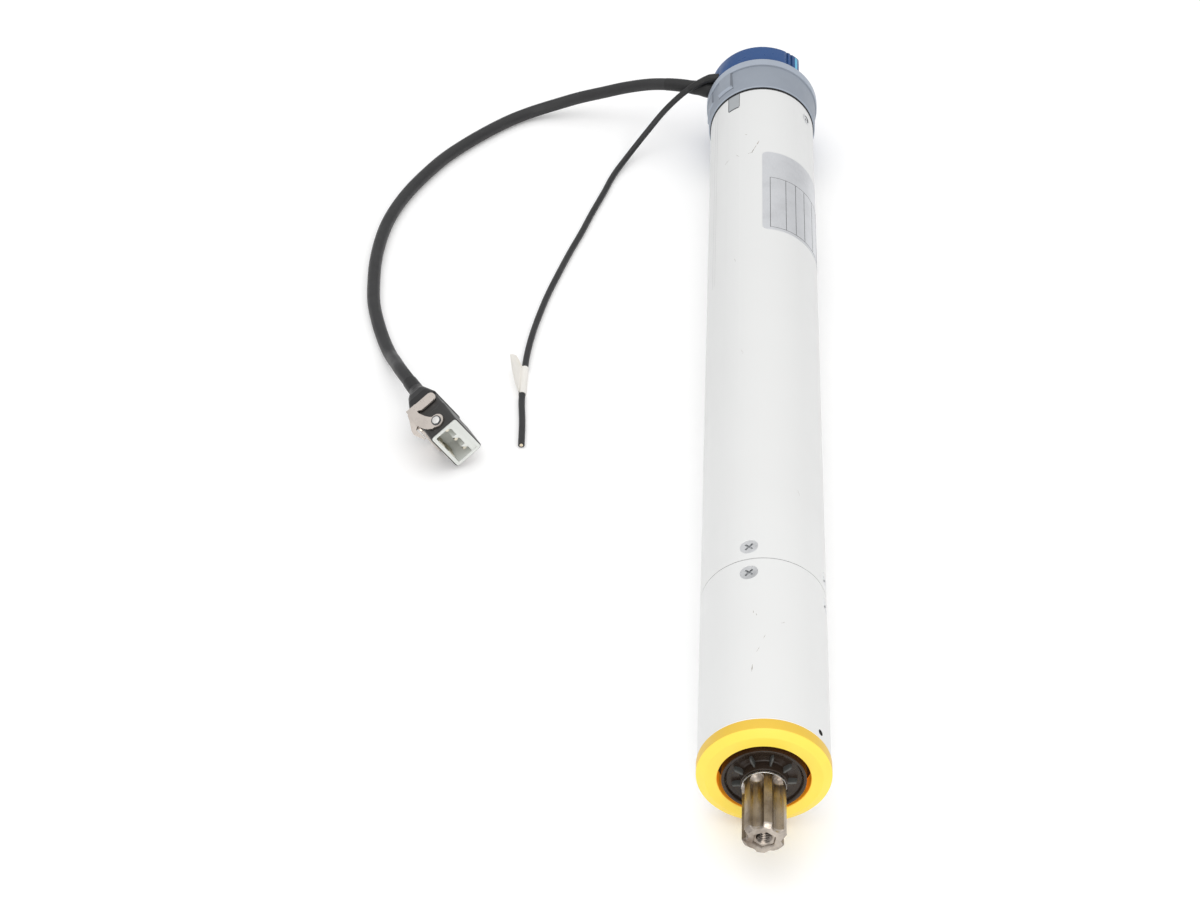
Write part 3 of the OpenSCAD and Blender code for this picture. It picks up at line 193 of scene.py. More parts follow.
def plastic(name, colour, rough, grain=1800.0, grain_depth=0.00002, mottle=0.06, dust=0.0,
            gloss=0.5, glow=0.0):
    """Moulded plastic or rubber: fine grain, slow changes of tone and gloss, dust, and a painted glow
    where asked.
    """
    n = Nodes(name)
    slow = n.noise(45.0, 4.0)
    base = n.ramp(slow, [(0.3, shade(colour, -mottle)), (0.7, shade(colour, mottle))])
    if dust:
        fine = n.noise(420.0, 6.0, 0.7)
        base = n.mix(n.spread(fine, 0.0, dust, 0.55, 0.8), base, DUST)
    n.join(base, n.shader.inputs["Base Color"])
    n.join(n.spread(n.noise(160.0, 5.0), rough - 0.06, rough + 0.08), n.shader.inputs["Roughness"])
    n.join(n.bump(n.noise(grain, 2.0), 0.35, grain_depth), n.shader.inputs["Normal"])
    n.shader.inputs["Specular IOR Level"].default_value = gloss
    n.shader.inputs["Emission Color"].default_value = (*colour, 1)
    n.shader.inputs["Emission Strength"].default_value = glow
    return n.material


def metal(name, colour, rough, stretch=(1, 1, 1), scale=900.0, depth=0.00001, stain=0.15, dark=None):
    """Bare metal: tool marks along one direction, uneven gloss and stains."""
    n = Nodes(name)
    slow = n.noise(70.0, 5.0, 0.6)
    low = dark or shade(colour, -stain * 2)
    base = n.ramp(slow, [(0.3, low), (0.5, colour), (0.75, shade(colour, stain))])
    n.join(base, n.shader.inputs["Base Color"])
    n.shader.inputs["Metallic"].default_value = 1.0
    lines = n.noise(scale, 4.0, 0.6, stretch)
    n.join(n.spread(lines, rough - 0.08, rough + 0.14), n.shader.inputs["Roughness"])
    n.join(n.bump(lines, 0.4, depth), n.shader.inputs["Normal"])
    return n.material


def white_paint():
    """Powder-coated tube: faint orange peel, with long scuffs and small grey marks."""
    n = Nodes("tube_white")
    tone = n.ramp(n.noise(14.0, 3.0), [(0.3, shade(WHITE, -0.012)), (0.7, shade(WHITE, 0.01))])
    streaks = n.noise(60.0, 5.0, 0.65, (0.06, 1, 1))
    tone = n.mix(n.spread(streaks, 0.0, 0.12, 0.66, 0.8), tone, STREAK)
    marks = n.noise(240.0, 4.0, 0.6, (0.5, 1, 1))
    tone = n.mix(n.spread(marks, 0.0, 0.35, 0.74, 0.82), tone, MARK)
    n.join(tone, n.shader.inputs["Base Color"])
    n.join(n.spread(n.noise(90.0, 4.0), 0.36, 0.46), n.shader.inputs["Roughness"])
    n.shader.inputs["Specular IOR Level"].default_value = 0.3
    n.join(n.bump(n.noise(700.0, 2.0), 0.12, 0.00002), n.shader.inputs["Normal"])
    return n.material


BLACK = (0.022, 0.021, 0.02)
YELLOW = (0.95, 0.71, 0.085)
GREY = (0.27, 0.303, 0.355)
BLUE = (0.021, 0.073, 0.218)
WHITE = (0.735, 0.74, 0.735)
CABLE_GREY = (0.024, 0.024, 0.025)
ALONG = (0.1, 1, 1)  # a noise drawn out along the drive

# Colour, roughness and what else a finish needs. Many names are the record's material
# slots, the others are for pieces made here
PLASTICS = {
    "yellow_plastic": (YELLOW, 0.42, dict(mottle=0.03)),
    "black_plastic": (BLACK, 0.42, dict(dust=0.05)),
    "planet_plastic": ((0.78, 0.74, 0.6), 0.4, {}),
    "board_green": ((0.02, 0.16, 0.07), 0.3, {}),
    "head_plastic": ((0.36, 0.38, 0.395), 0.5, {}),
    "washer_rubber": ((0.012, 0.012, 0.013), 0.6, {}),
    "crown_plastic": (GREY, 0.5, dict(mottle=0.04)),
    "blue_plastic": (BLUE, 0.3, dict(grain_depth=0.000006, mottle=0.08, gloss=0.22)),
    "cable_rubber": (CABLE_GREY, 0.48, dict(grain=900.0, mottle=0.12, dust=0.02, gloss=0.4)),
    "boot_rubber": ((0.017, 0.017, 0.0175), 0.45, dict(dust=0.02, gloss=0.36)),
    "tag_paper": ((0.78, 0.76, 0.72), 0.8, dict(grain=2600.0, grain_depth=0.00005)),
    "insert_plastic": ((0.66, 0.68, 0.65), 0.4, dict(mottle=0.03)),
    "cover_black": ((0.026, 0.0165, 0.011), 0.25,
                    dict(grain_depth=0.000004, mottle=0.35, gloss=0.4)),
    # Ribs: a lighter copy of the cover's black, painted highlight
    "rib_black": ((0.07, 0.072, 0.068), 0.3, dict(grain_depth=0.000004, mottle=0.15)),
    # The ring's bore: deeper orange with a glow, painted shade and painted glow
    "yellow_depth": ((0.95, 0.34, 0.015), 0.4, dict(mottle=0.1, glow=0.28)),
    # The ring's band: a darker copy of the yellow, painted shade
    "ring_band": ((0.77, 0.5, 0.045), 0.45, dict(mottle=0.03)),
    # Darker grey at the foot of the crown's pads: painted shade
    "foot_grey": (shade(GREY, -0.45), 0.6, {}),
    # Lighter grey for the crown's rim, its front edge and the pads' noses: painted highlight
    "rim_grey": (shade(GREY, 0.3), 0.45, dict(mottle=0.05)),
    # Light cyan strip on the blue head: painted highlight
    "edge_cyan": ((0.13, 0.5, 0.72), 0.2, dict(mottle=0.05)),
    "seam_dark": ((0.06, 0.065, 0.07), 0.6, {}),
    # Near black: the pin below the ring, and painted shade in the fixing screw's recesses
    "pin_dark": ((0.004, 0.004, 0.004), 0.5, {}),
    "paint_shade": ((0.5, 0.505, 0.5), 0.5, dict(mottle=0.03)),
    # Brighter white on the tube's cut lip: painted highlight
    "lip_white": ((0.95, 0.95, 0.93), 0.4, dict(mottle=0.02)),
    "label_ink": ((0.05, 0.05, 0.055), 0.5, {}),
    "core_cream": ((0.75, 0.66, 0.5), 0.5, {}),
    "scuff_brown": ((0.33, 0.29, 0.26), 0.7, dict(mottle=0.4)),
}
METALS = {
    "light_alloy": ((0.72, 0.72, 0.73), 0.38, dict(stretch=ALONG)),
    "bright_screw": ((0.66, 0.67, 0.68), 0.3, {}),
    "bronze": ((0.62, 0.42, 0.2), 0.42, {}),
    "shaft_steel": ((0.52, 0.49, 0.46), 0.3, dict(stretch=(0.08, 1, 1), dark=(0.3, 0.27, 0.24))),
    "gear_steel": ((0.42, 0.43, 0.45), 0.4, {}),
    "copper": ((0.72, 0.32, 0.14), 0.35, dict(stretch=(1, 8, 8), scale=1500.0, depth=0.00008)),
    "lamination": ((0.33, 0.33, 0.36), 0.5,
                   dict(stretch=(12, 0.2, 0.2), scale=1200.0, depth=0.00005)),
    "can_alloy": ((0.78, 0.78, 0.8), 0.25, dict(stretch=ALONG)),
    "contact_metal": ((0.66, 0.62, 0.52), 0.3, {}),
    "clip_steel": ((0.66, 0.6, 0.55), 0.3, dict(scale=300.0, depth=0.000002, stain=0.06)),
    "star_steel": ((0.285, 0.232, 0.172), 0.27,
                   dict(stretch=(0.08, 1, 1), scale=700.0, depth=0.00002, stain=0.3,
                        dark=(0.13, 0.096, 0.062))),
    "worn_steel": ((0.4, 0.355, 0.31), 0.3,
                   dict(scale=420.0, depth=0.0002, stain=0.7, dark=(0.17, 0.13, 0.1))),
    # Darker steel for the threaded hole: painted shade
    "bore_steel": ((0.2, 0.175, 0.155), 0.2,
                   dict(scale=600.0, stain=0.3, dark=(0.07, 0.055, 0.045))),
    "pin_steel": ((0.8, 0.79, 0.77), 0.42, dict(depth=0.000002, stain=0.04)),
    "bright_steel": ((0.72, 0.71, 0.7), 0.22, dict(stretch=(0.2, 1, 1))),
    "label_silver": ((0.7, 0.71, 0.73), 0.5,
                     dict(stretch=(0.3, 1, 1), scale=1400.0, depth=0.000004, stain=0.04)),
}
FINISH = {"tube_paint": white_paint()}
for make, table in ((plastic, PLASTICS), (metal, METALS)):
    for finish, (tint, rough, options) in table.items():
        FINISH[finish] = make(finish, tint, rough, **options)

SLOTS = {part["node"]: part["material_slot"] for part in frame["record"]["subparts"]}
for node_name, node_slot in SLOTS.items():
    node_data = frame["nodes"][node_name].data
    node_data.materials.clear()
    node_data.materials.append(FINISH[node_slot])


# Mesh helpers. Places on the drive are (s, y, z) in millimetres from the ring's face and the axis

DRIVE = Matrix.Translation((FACE_X, 0, AXIS_Z)) @ Matrix.Scale(MM, 4)
SHARP = math.radians(32)
ROUND = [math.radians(10 * k) for k in range(36)]
WELD = 0.000002  # points nearer than this, in metres, become one
SPECK = 0.000001  # edges shorter than this go


def polar(s, r, angle):
    """Point from a place along the axis, a radius and an angle from the top towards +Y."""
    a = math.radians(angle)
    return (s, r * math.sin(a), r * math.cos(a))


def on_side(r, depth, angle, s, place, stretch=1.0):
    """Point of a small round part that stands in the tube's wall, at s and the angle place."""
    a, mark = math.radians(angle), math.radians(place)
    along, side = s + r * math.cos(a) * stretch, r * math.sin(a)
    return (along, depth * math.sin(mark) + side * math.cos(mark),
            depth * math.cos(mark) - side * math.sin(mark))


def turn(start, stop, count):
    """Evenly spaced angles or lengths, both ends included."""
    return [start + (stop - start) * i / (count - 1) for i in range(count)]


def fillet(points, steps=4):
    """Rounds the corners of an open outline whose points are (x, y, radius)."""
    out = []
    for i, (x, y, r) in enumerate(points):
        here = Vector((x, y))
        if r <= 0 or i in (0, len(points) - 1):
            out.append((x, y))
            continue
        before = Vector(points[i - 1][:2]) - here
        after = Vector(points[i + 1][:2]) - here
        half = before.angle(after) / 2
        reach = min(r / math.tan(half), before.length * 0.49, after.length * 0.49)
        a, b = here + before.normalized() * reach, here + after.normalized() * reach
        for k in range(steps + 1):
            t = k / steps
            point = (1 - t) ** 2 * a + 2 * t * (1 - t) * here + t ** 2 * b
            out.append((point.x, point.y))
    return out


def round_outline(points, steps):
    """The same for a closed outline."""
    ring = fillet([points[-1]] + list(points) + [points[0]], steps)
    return ring[1:-1]


class Shape:
    """Points and faces of one piece, gathered from rows and caps."""

    def __init__(self):
        self.points, self.faces, self.slots = [], [], []

    def rows(self, rows, closed=True, slot=0):
        """Quads between rows of the same length; a closed row joins its end to its start."""
        base, width = len(self.points), len(rows[0])
        for row in rows:
            self.points.extend(row)
        for i in range(len(rows) - 1):
            for k in range(width if closed else width - 1):
                j = (k + 1) % width
                a, b = base + i * width, base + (i + 1) * width
                self.faces.append((a + k, a + j, b + j, b + k))
                self.slots.append(slot(i, k) if callable(slot) else slot)

    def cap(self, row):
        """A fan that closes one row."""
        base = len(self.points)
        centre = tuple(sum(p[i] for p in row) / len(row) for i in range(3))
        self.points.extend(list(row) + [centre])
        for k in range(len(row)):
            self.faces.append((base + k, base + (k + 1) % len(row), base + len(row)))
            self.slots.append(0)

    def solid(self, rows, slot=0):
        """Rows closed at both ends."""
        self.rows(rows, slot=slot)
        self.cap(rows[0])
        self.cap(rows[-1])

    def lathe(self, profile, count=144, slot=0):
        """A surface of revolution from (s, r) points."""
        angles = [360 * k / count for k in range(count)]
        self.rows([[polar(s, r, a) for a in angles] for s, r in profile], True, slot)

    def piece(self, name, body, material, replaces=None, slot=None, place=DRIVE, sharp=SHARP):
        """Makes the object: welded, facing outwards, smooth but for its sharp edges."""
        data = bpy.data.meshes.new(name)
        data.from_pydata([place @ Vector(p) for p in self.points], [], self.faces)
        for m in material if isinstance(material, list) else [material]:
            data.materials.append(m)
        for face, index in zip(data.polygons, self.slots):
            face.material_index = index
        mesh = bmesh.new()
        mesh.from_mesh(data)
        bmesh.ops.remove_doubles(mesh, verts=mesh.verts, dist=WELD)
        bmesh.ops.dissolve_degenerate(mesh, dist=SPECK, edges=mesh.edges)
        bmesh.ops.recalc_face_normals(mesh, faces=mesh.faces)
        mesh.to_mesh(data)
        mesh.free()
        obj = link(bpy.data.objects.new(name, data))
        data.shade_smooth()
        data.set_sharp_from_angle(angle=sharp)
        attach(obj, body)
        if replaces:
            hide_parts(replaces)
        return obj


# Ring, cover and shaft at the drive end

RING_WINDOWS = [(-108, -59), (65, 114)]
WINDOW_DEPTH, WINDOW_EDGE = 1.1, 0.4
RING_TURN = 2.5  # degrees from one column of points to the next


def in_window(a):
    """Whether the angle falls in one of the ring's windows."""
    a = a if a < 180 else a - 360
    return any(start <= a <= stop for start, stop in RING_WINDOWS)


def make_ring():
    """Yellow ring: rounded nose, a fine step behind it, and two windows in the bore; painted shade on
    the band, painted shade and a painted glow in the bore.
    """
    outer = fillet([(-8, 26.9, 0), (-8, 29.4, 0.35), (-2.1, 29.4, 0.5), (-0.12, 25.5, 1.4),
                    (0, 20.5, 0.25), (-0.3, 20.25, 0)], 6)
    bore = [(-0.35, 20.25), (-0.7, 20.25), (-1.0, 20.25), (-5, 20.25), (-9.5, 20.25), (-9.5, 19.0)]
    edges = [side + off for window in RING_WINDOWS for side in window
             for off in (-WINDOW_EDGE, 0, WINDOW_EDGE)]
    angles = sorted(set(round(a % 360, 3) for a in edges + [RING_TURN * k for k in range(144)]))
    shape = Shape()
    # Faces behind the nose get the band's painted shade; the edge into the bore and the bore get the
    # deeper orange with its painted glow.
    shape.rows([[polar(s, r, a) for a in angles] for s, r in outer + bore[:1]],
               slot=lambda i, k: 2 if outer[i][0] < -2.3 else (1 if i >= len(outer) - 2 else 0))
    rows = []
    for i, (s, r) in enumerate(bore):
        deep = WINDOW_DEPTH if 2 <= i <= 4 else 0.0
        rows.append([polar(s, r + (deep if in_window(a) else 0), a) for a in angles])
    shape.rows(rows, slot=1)
    shape.piece("end_ring_shell", "housing",
                [FINISH["yellow_plastic"], FINISH["yellow_depth"], FINISH["ring_band"]],
                "end_ring", "yellow_plastic")
    # The spigot behind the ring gets the same painted shade and glow.
    back = Shape()
    back.lathe(fillet([(-8, 29.0, 0), (-8, 26.92, 0), (-22, 26.92, 0.3), (-22, 24.2, 0.3),
                       (-9.5, 24.2, 0)]), 96)
    back.piece("end_ring_spigot", "housing", FINISH["yellow_depth"], slot="yellow_plastic")


RIBS, RIB_FIRST = 9, 13
RIB_FROM, RIB_REACH, RIB_HALF = 9.9, 4.5, 0.6
RIB_FOOT, RIB_BASE = -1.9, -1.45  # they start below the dish's face and rise from it
RIB_HIGH, RIB_FALL = 3.1, 0.8  # height at the collar, and what it loses on the way out
RIB_ROUND = 0.84  # share of a rib's reach where its end begins to round off
RIB_SPREAD = 1.12  # how much wider a rib is at its foot
RIB_TIP = 0.01  # keeps a rib's pointed end from closing altogether


def make_cover():
    """Dished black cover: lip, nine tapering ribs in a lighter black as a painted highlight, and the
    collar round the shaft.
    """
    shape = Shape()
    shape.lathe(fillet([(-9.4, 18.4, 0), (0.8, 18.4, 0.35), (0.8, 17.3, 0.3), (0.35, 16.9, 0.4),
                        (-1.15, 16.3, 1.2), (-1.55, 13.0, 2.0), (-1.35, 10.7, 0.5),
                        (-0.9, 10.3, 0.5), (3.2, 10.15, 0.3), (3.5, 9.9, 0.2), (3.5, 9.0, 0.2),
                        (3.1, 8.6, 0.1), (-1, 8.56, 0)], 5), 180)
    for k in range(RIBS):
        make_rib(shape, RIB_FIRST + 360 * k / RIBS)
    shape.piece("cover_dish", "housing", [FINISH["cover_black"], FINISH["rib_black"]],
                "output_cover", "black_plastic", sharp=math.radians(50))
    back = Shape()
    back.lathe([(-9.4, 18.4), (-9.6, 23.9), (-22, 23.9), (-22, 9.72), (-1, 9.72)], 96)
    back.piece("cover_flange", "housing", FINISH["black_plastic"], slot="black_plastic")


def make_rib(shape, angle):
    """One rib: high at the collar, low and round at its outer end."""
    a = math.radians(angle)
    out, side = (math.sin(a), math.cos(a)), (math.cos(a), -math.sin(a))
    rows = []
    for t in turn(0, 1, 12):
        r = RIB_FROM + RIB_REACH * t
        end = max(0.0, (t - RIB_ROUND) / (1 - RIB_ROUND))
        half = RIB_HALF * math.sqrt(max(0.0, 1 - end ** 2)) + RIB_TIP
        fall = math.sqrt(max(0.0, 1 - end ** 2.4))
        top = RIB_BASE + (RIB_HIGH - RIB_FALL * t) * fall + 2 * RIB_TIP
        row = []
        for u in turn(-1, 1, 11):
            lift = (1 - abs(u) ** 5) ** 0.5 if abs(u) < 1 else 0.0
            w = half * (RIB_SPREAD * u if abs(u) > 0.99 else u)
            row.append((RIB_FOOT + (top - RIB_FOOT) * lift,
                        out[0] * r + side[0] * w, out[1] * r + side[1] * w))
        rows.append(row)
    shape.rows(rows, closed=False, slot=1)


LOBE_R, FLUTE_R, FLUTE_AT, LOBE_FIRST = 9.6, 3.2, 10.2, 7.5
LOBE_SOFT = 0.3  # how widely the lobes' edges are rounded
FLUTE_FROM, CHAMFER_FROM, SHAFT_TIP = 7.9, 32.7, 34.5
CHAMFER = 1.9
THREAD_FROM, THREAD_R, THREAD_DEPTH = 32.5, 2.6, 0.65
THREAD_STEP, THREAD_STEPS = 0.208375, 72  # six steps to a turn
HOLE_END, HOLE_END_R = THREAD_FROM - 15.4, 1.2
WEAR, WEAR_TIP, WEAR_FROM = 0.015, 0.3, 30.5


def star_radius(angle, flute=FLUTE_R, outer=LOBE_R):
    """Radius of the six-lobed section, its lobe edges slightly rounded."""
    off = math.radians((angle - LOBE_FIRST) % 60 - 30)
    across = FLUTE_AT * math.sin(off)
    if flute <= 0 or abs(across) >= flute:
        return outer
    inner = FLUTE_AT * math.cos(off) - math.sqrt(flute ** 2 - across ** 2)
    gap = (inner - outer) / LOBE_SOFT
    return outer + LOBE_SOFT * (gap if gap < -12 else -math.log(1 + math.exp(-gap)))


def hexagon_radius(angle, corner):
    """Radius of a hexagon whose flats face the flutes."""
    off = math.radians((angle - LOBE_FIRST) % 60 - 30)
    return corner * math.cos(math.pi / 6) / math.cos(off)


def make_shaft():
    """Lobed shaft: ball-cut flute ends, a worn chamfer, a six-sided lead-in and a thread."""
    angles = [1.5 * k for k in range(240)]
    rows = []

    def ring(s, radius):
        rows.append([polar(s, radius(a), a) for a in angles])

    for s in (turn(5.0, 5.6, 7) + turn(5.8, FLUTE_FROM, 11) + turn(8.7, 31.6, 30)
              + turn(32.0, CHAMFER_FROM, 4)):
        ball = FLUTE_FROM - s
        flute = math.sqrt(max(0.0, FLUTE_R ** 2 - ball ** 2)) if ball > 0 else FLUTE_R
        ring(s, lambda a: worn(star_radius(a, flute), s, a))
    for t in turn(0.15, 1, 7):
        s = CHAMFER_FROM + (SHAFT_TIP - CHAMFER_FROM) * t
        outer = LOBE_R - CHAMFER * t ** 1.25
        ring(s, lambda a: worn(min(star_radius(a), star_radius(a, outer=outer)), s, a))
    ring(SHAFT_TIP, lambda a: (star_radius(a, outer=LOBE_R - CHAMFER) + hexagon_radius(a, 5.4)) / 2)
    for s, corner in ((SHAFT_TIP, 5.45), (34.3, 5.2), (33.3, 4.9)):
        ring(s, lambda a: hexagon_radius(a, corner))
    inside = len(rows)
    for s, r in ((32.9, 3.5), (THREAD_FROM, 3.2)):
        ring(s, lambda a: r)
    for k in range(1, THREAD_STEPS + 1):
        ring(THREAD_FROM - k * THREAD_STEP,
             lambda a: THREAD_R + THREAD_DEPTH * abs((k / 6 + a / 360) % 1 * 2 - 1))
    shape = Shape()
    tip = next(i for i, row in enumerate(rows) if row[0][0] > 32.3)
    # The threaded hole takes the darker steel: painted shade.
    shape.rows(rows, slot=lambda i, k: 2 if i >= inside else
               (1 if i >= tip or i < 16 and star_radius(angles[k]) < 9.2 else 0))
    end = [polar(HOLE_END, HOLE_END_R, a) for a in angles[::6]]
    shape.cap(end)
    shape.rows([rows[-1][::6], end])
    shape.piece("drive_star", "output",
                [FINISH["star_steel"], FINISH["worn_steel"], FINISH["bore_steel"]],
                "drive_shaft", "shaft_steel", sharp=math.radians(38))
    base = Shape()
    base.lathe(fillet([(-24, 8.5, 0), (3.78, 8.5, 0), (3.8, 9.3, 0), (3.8, 9.7, 0.25),
                       (5.0, 9.7, 0.25), (5.0, 6.6, 0)]), 120)
    base.cap([polar(-24, 8.5, 3 * k) for k in range(120)])
    base.piece("drive_shoulder", "output", FINISH["bright_steel"], slot="shaft_steel")


def worn(r, s, angle):
    """Small dents that grow towards the shaft's tip."""
    a = math.radians(angle)
    amount = WEAR + WEAR_TIP * max(0.0, (s - WEAR_FROM) / (SHAFT_TIP - WEAR_FROM)) ** 2
    return r + amount * (noise.noise(Vector((s * 0.9, 5 * math.sin(a), 5 * math.cos(a)))) - 0.1)


make_ring()
make_cover()
make_shaft()


# Moulded and cut pieces: the solid's own form with its edges rounded

FLAT = math.radians(0.6)  # faces that turn by less are merged


def soften(node, width, body="housing"):
    """A finer piece in a node's place: merged flat faces and rounded edges."""
    data = frame["nodes"][node].data.copy()
    mesh = bmesh.new()
    mesh.from_mesh(data)
    bmesh.ops.remove_doubles(mesh, verts=mesh.verts, dist=WELD)
    bmesh.ops.dissolve_limit(mesh, angle_limit=FLAT, verts=mesh.verts, edges=mesh.edges)
    bmesh.ops.recalc_face_normals(mesh, faces=mesh.faces)
    mesh.to_mesh(data)
    mesh.free()
    obj = link(bpy.data.objects.new(node + "_finish", data))
    edge = obj.modifiers.new("edge", "BEVEL")
    edge.width, edge.segments, edge.limit_method = mm(width), 2, "ANGLE"
    edge.angle_limit = SHARP
    edge.harden_normals = True
    data.shade_smooth()
    data.set_sharp_from_angle(angle=SHARP)
    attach(obj, body)
    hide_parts(node)
    return obj


for soft_node, soft_width in (("head_cap", 0.6), ("plug_body", 0.7), ("plug_insert", 0.25),
                              ("seam_screws", 0.12), ("head_screws", 0.12)):
    soften(soft_node, soft_width)


# Marks on the tube: thin pieces that follow its curve

SLOPED = 0.2  # a rim wider than this slopes the plate's ends too


def wrapped(shape, s_range, a_range, corner=0.0, low=0.0, high=0.25, radius=TUBE_R, rim=0.08):
    """A rounded plate on the tube, between two places along it and two angles."""
    (s0, s1), (a0, a1) = s_range, a_range
    scale = math.radians(1) * radius
    edge, slope = [], []
    for i in range(41):
        a = a0 + (a1 - a0) * (0.5 - 0.5 * math.cos(math.pi * i / 40))
        near = min(abs(a - a0), abs(a1 - a)) * scale
        cut = 0.0
        if near < corner:
            cut = corner - math.sqrt(max(0.0, corner ** 2 - (corner - near) ** 2))
        edge.append((a, s0 + cut, s1 - cut))
        slope.append(max(0.0, rim - near) if rim > SLOPED else 0.0)
    rim = min(rim, (high - low) * 0.8)
    fronts, backs = [], []
    for r, inset in ((radius + low, 0.0), (radius + high - rim, 0.0), (radius + high, rim)):
        drops = slope if inset else [0.0] * len(edge)
        fronts.append([polar(b + inset, r - d, a) for (a, b, e), d in zip(edge, drops)])
        backs.append([polar(e - inset, r - d, a) for (a, b, e), d in zip(edge, drops)])
    around = fronts + backs[::-1]
    shape.rows(around + fronts[:1], closed=False)
    for k in (0, -1):
        shape.cap([row[k] for row in around])


def make_label():
    """Plain silver plate with an empty ruled frame."""
    plate = Shape()
    wrapped(plate, (-433, -361.5), (-2.5, 118), corner=3.2, high=0.14)
    plate.piece("label_plate", "housing", FINISH["label_silver"], slot="tube_paint")
    lines = Shape()
    for s in (-409, -363.8):
        wrapped(lines, (s - 0.16, s + 0.16), (5.5, 108), low=0.1, high=0.17)
    for angle in (5.5, 22.8, 34.9, 47.4, 62.7, 78, 93, 107.6):
        wrapped(lines, (-409, -363.8), (angle, angle + 0.55), low=0.1, high=0.168)
    lines.piece("label_lines", "housing", FINISH["label_ink"], slot="tube_paint")


# Each scuff: its two ends as (s, angle), and its width
SCUFFS = [
    ((-443.8, -5.8), (-439.8, -8.4), 0.6), ((-439.4, -8.9), (-432.9, -14.0), 0.55),
    ((-432.8, -18.1), (-433.0, -13.0), 0.4), ((-435.0, -31.7), (-432.7, -28.4), 0.4),
    ((-434.4, -41.2), (-432.5, -46.5), 0.4), ((-452.1, -21.2), (-451.4, -19.2), 0.4),
    ((-74.4, -11.9), (-72.9, -11.6), 0.5), ((-72.4, -9.4), (-71.1, -8.8), 0.45),
    ((-67.0, 12.5), (-68.2, 16.2), 0.25), ((-59.2, -1.1), (-56.1, -3.2), 0.22),
    ((-51.3, -6.2), (-48.4, -9.1), 0.32), ((-40.9, -12.6), (-36.6, -13.2), 0.75),
    ((-341.0, -33.0), (-337.0, -31.0), 0.25), ((-262.0, -24.0), (-258.5, -22.0), 0.22),
    ((-160.0, 31.0), (-157.0, 33.5), 0.22), ((-300.0, 120.0), (-296.0, 124.0), 0.35),
    ((-210.0, 195.0), (-204.0, 192.0), 0.35), ((-120.0, 250.0), (-113.0, 247.0), 0.3),
    ((-390.0, 215.0), (-384.0, 219.0), 0.35),
]


def make_marks():
    """Bright lip where the tube is cut, a painted highlight; the dark pin below the ring, and scuffs.
    """
    lip = Shape()
    lip.lathe([(-8.0, 28.7), (-8.0, 29.02), (-8.15, 29.06), (-8.5, 29.06), (-8.62, 29.0),
               (-8.62, 28.7)], 180)
    lip.piece("tube_lip", "housing", FINISH["lip_white"], slot="tube_paint")
    pin = Shape()
    rows = [[on_side(r, depth, 15 * k, -12.5, 54) for k in range(24)]
            for r, depth in ((1.28, 26.6), (1.28, 28.99), (1.5, 29.0), (1.5, 29.04), (1.2, 29.05),
                             (1.0, 28.4), (0.05, 28.2))]
    pin.solid(rows)
    pin.piece("ring_pin", "housing", FINISH["pin_dark"], slot="black_plastic")
    scuffs = Shape()
    for start, stop, wide in SCUFFS:
        stroke(scuffs, start, stop, wide)
    scuffs.piece("tube_scuffs", "housing", FINISH["scuff_brown"], slot="tube_paint")


def stroke(shape, start, stop, wide):
    """A thin sliver on the tube between two places (s, angle), pointed at its ends."""
    arc = math.radians(1) * TUBE_R
    run = Vector((stop[0] - start[0], (stop[1] - start[1]) * arc)).normalized()
    rows = []
    for t in turn(0, 1, 12):
        taper = math.sin(math.pi * (0.04 + 0.92 * t)) ** 0.6
        half = wide / 2 * taper * (0.75 + 0.25 * math.sin(9 * t + start[0]))
        s, angle = (p + (q - p) * t for p, q in zip(start, stop))
        rows.append([polar(s - run.y * half * u, radius, angle + run.x * half * u / arc)
                     for u, radius in ((-1, 28.985), (0, 29.025), (1, 28.985), (0, 28.95))])
    shape.solid(rows)


make_label()
make_marks()


# Plug clip: its lever drawn close to the body, an ear beside it and the pin it turns on

PLUG_YAW = PLUG_ROLL = math.radians(31)
PLUG_AT = Vector((CAP_X + mm(309.6), mm(-152.3), mm(18)))
PLUG_FRAME = (Matrix.Translation(PLUG_AT) @ Matrix.Rotation(PLUG_YAW, 4, "Z")
              @ Matrix.Rotation(PLUG_ROLL, 4, "X") @ Matrix.Scale(MM, 4))
EAR = [(-22, -9.0), (-22, -9.9), (-18, -10.8), (-15, -11.9), (-12, -12.9), (-9, -13.3),
       (-6, -12.2), (-3.5, -10.9), (-1.8, -10.1), (-1.9, -9.7), (-5, -10.5), (-8.5, -11.2),
       (-10.5, -10.6), (-12, -9.0)]
PIN_X, PIN_STRETCH = -6.0, 1.12
LEVER_X, LEVER_LONG, LEVER_BENT = -22, 18, 11  # where the lever starts, its length and its reach
LEVER_SIDE = -9.55  # only the lever lies beyond this
LEVER_IN, LEVER_SAG, LEVER_TURN = 3.5, 1.3, 135


def pin_row(r, z):
    """Points round the clip's pin, a little longer along the plug."""
    return [(PIN_X + r * PIN_STRETCH * math.cos(a), r * math.sin(a), z) for a in ROUND]


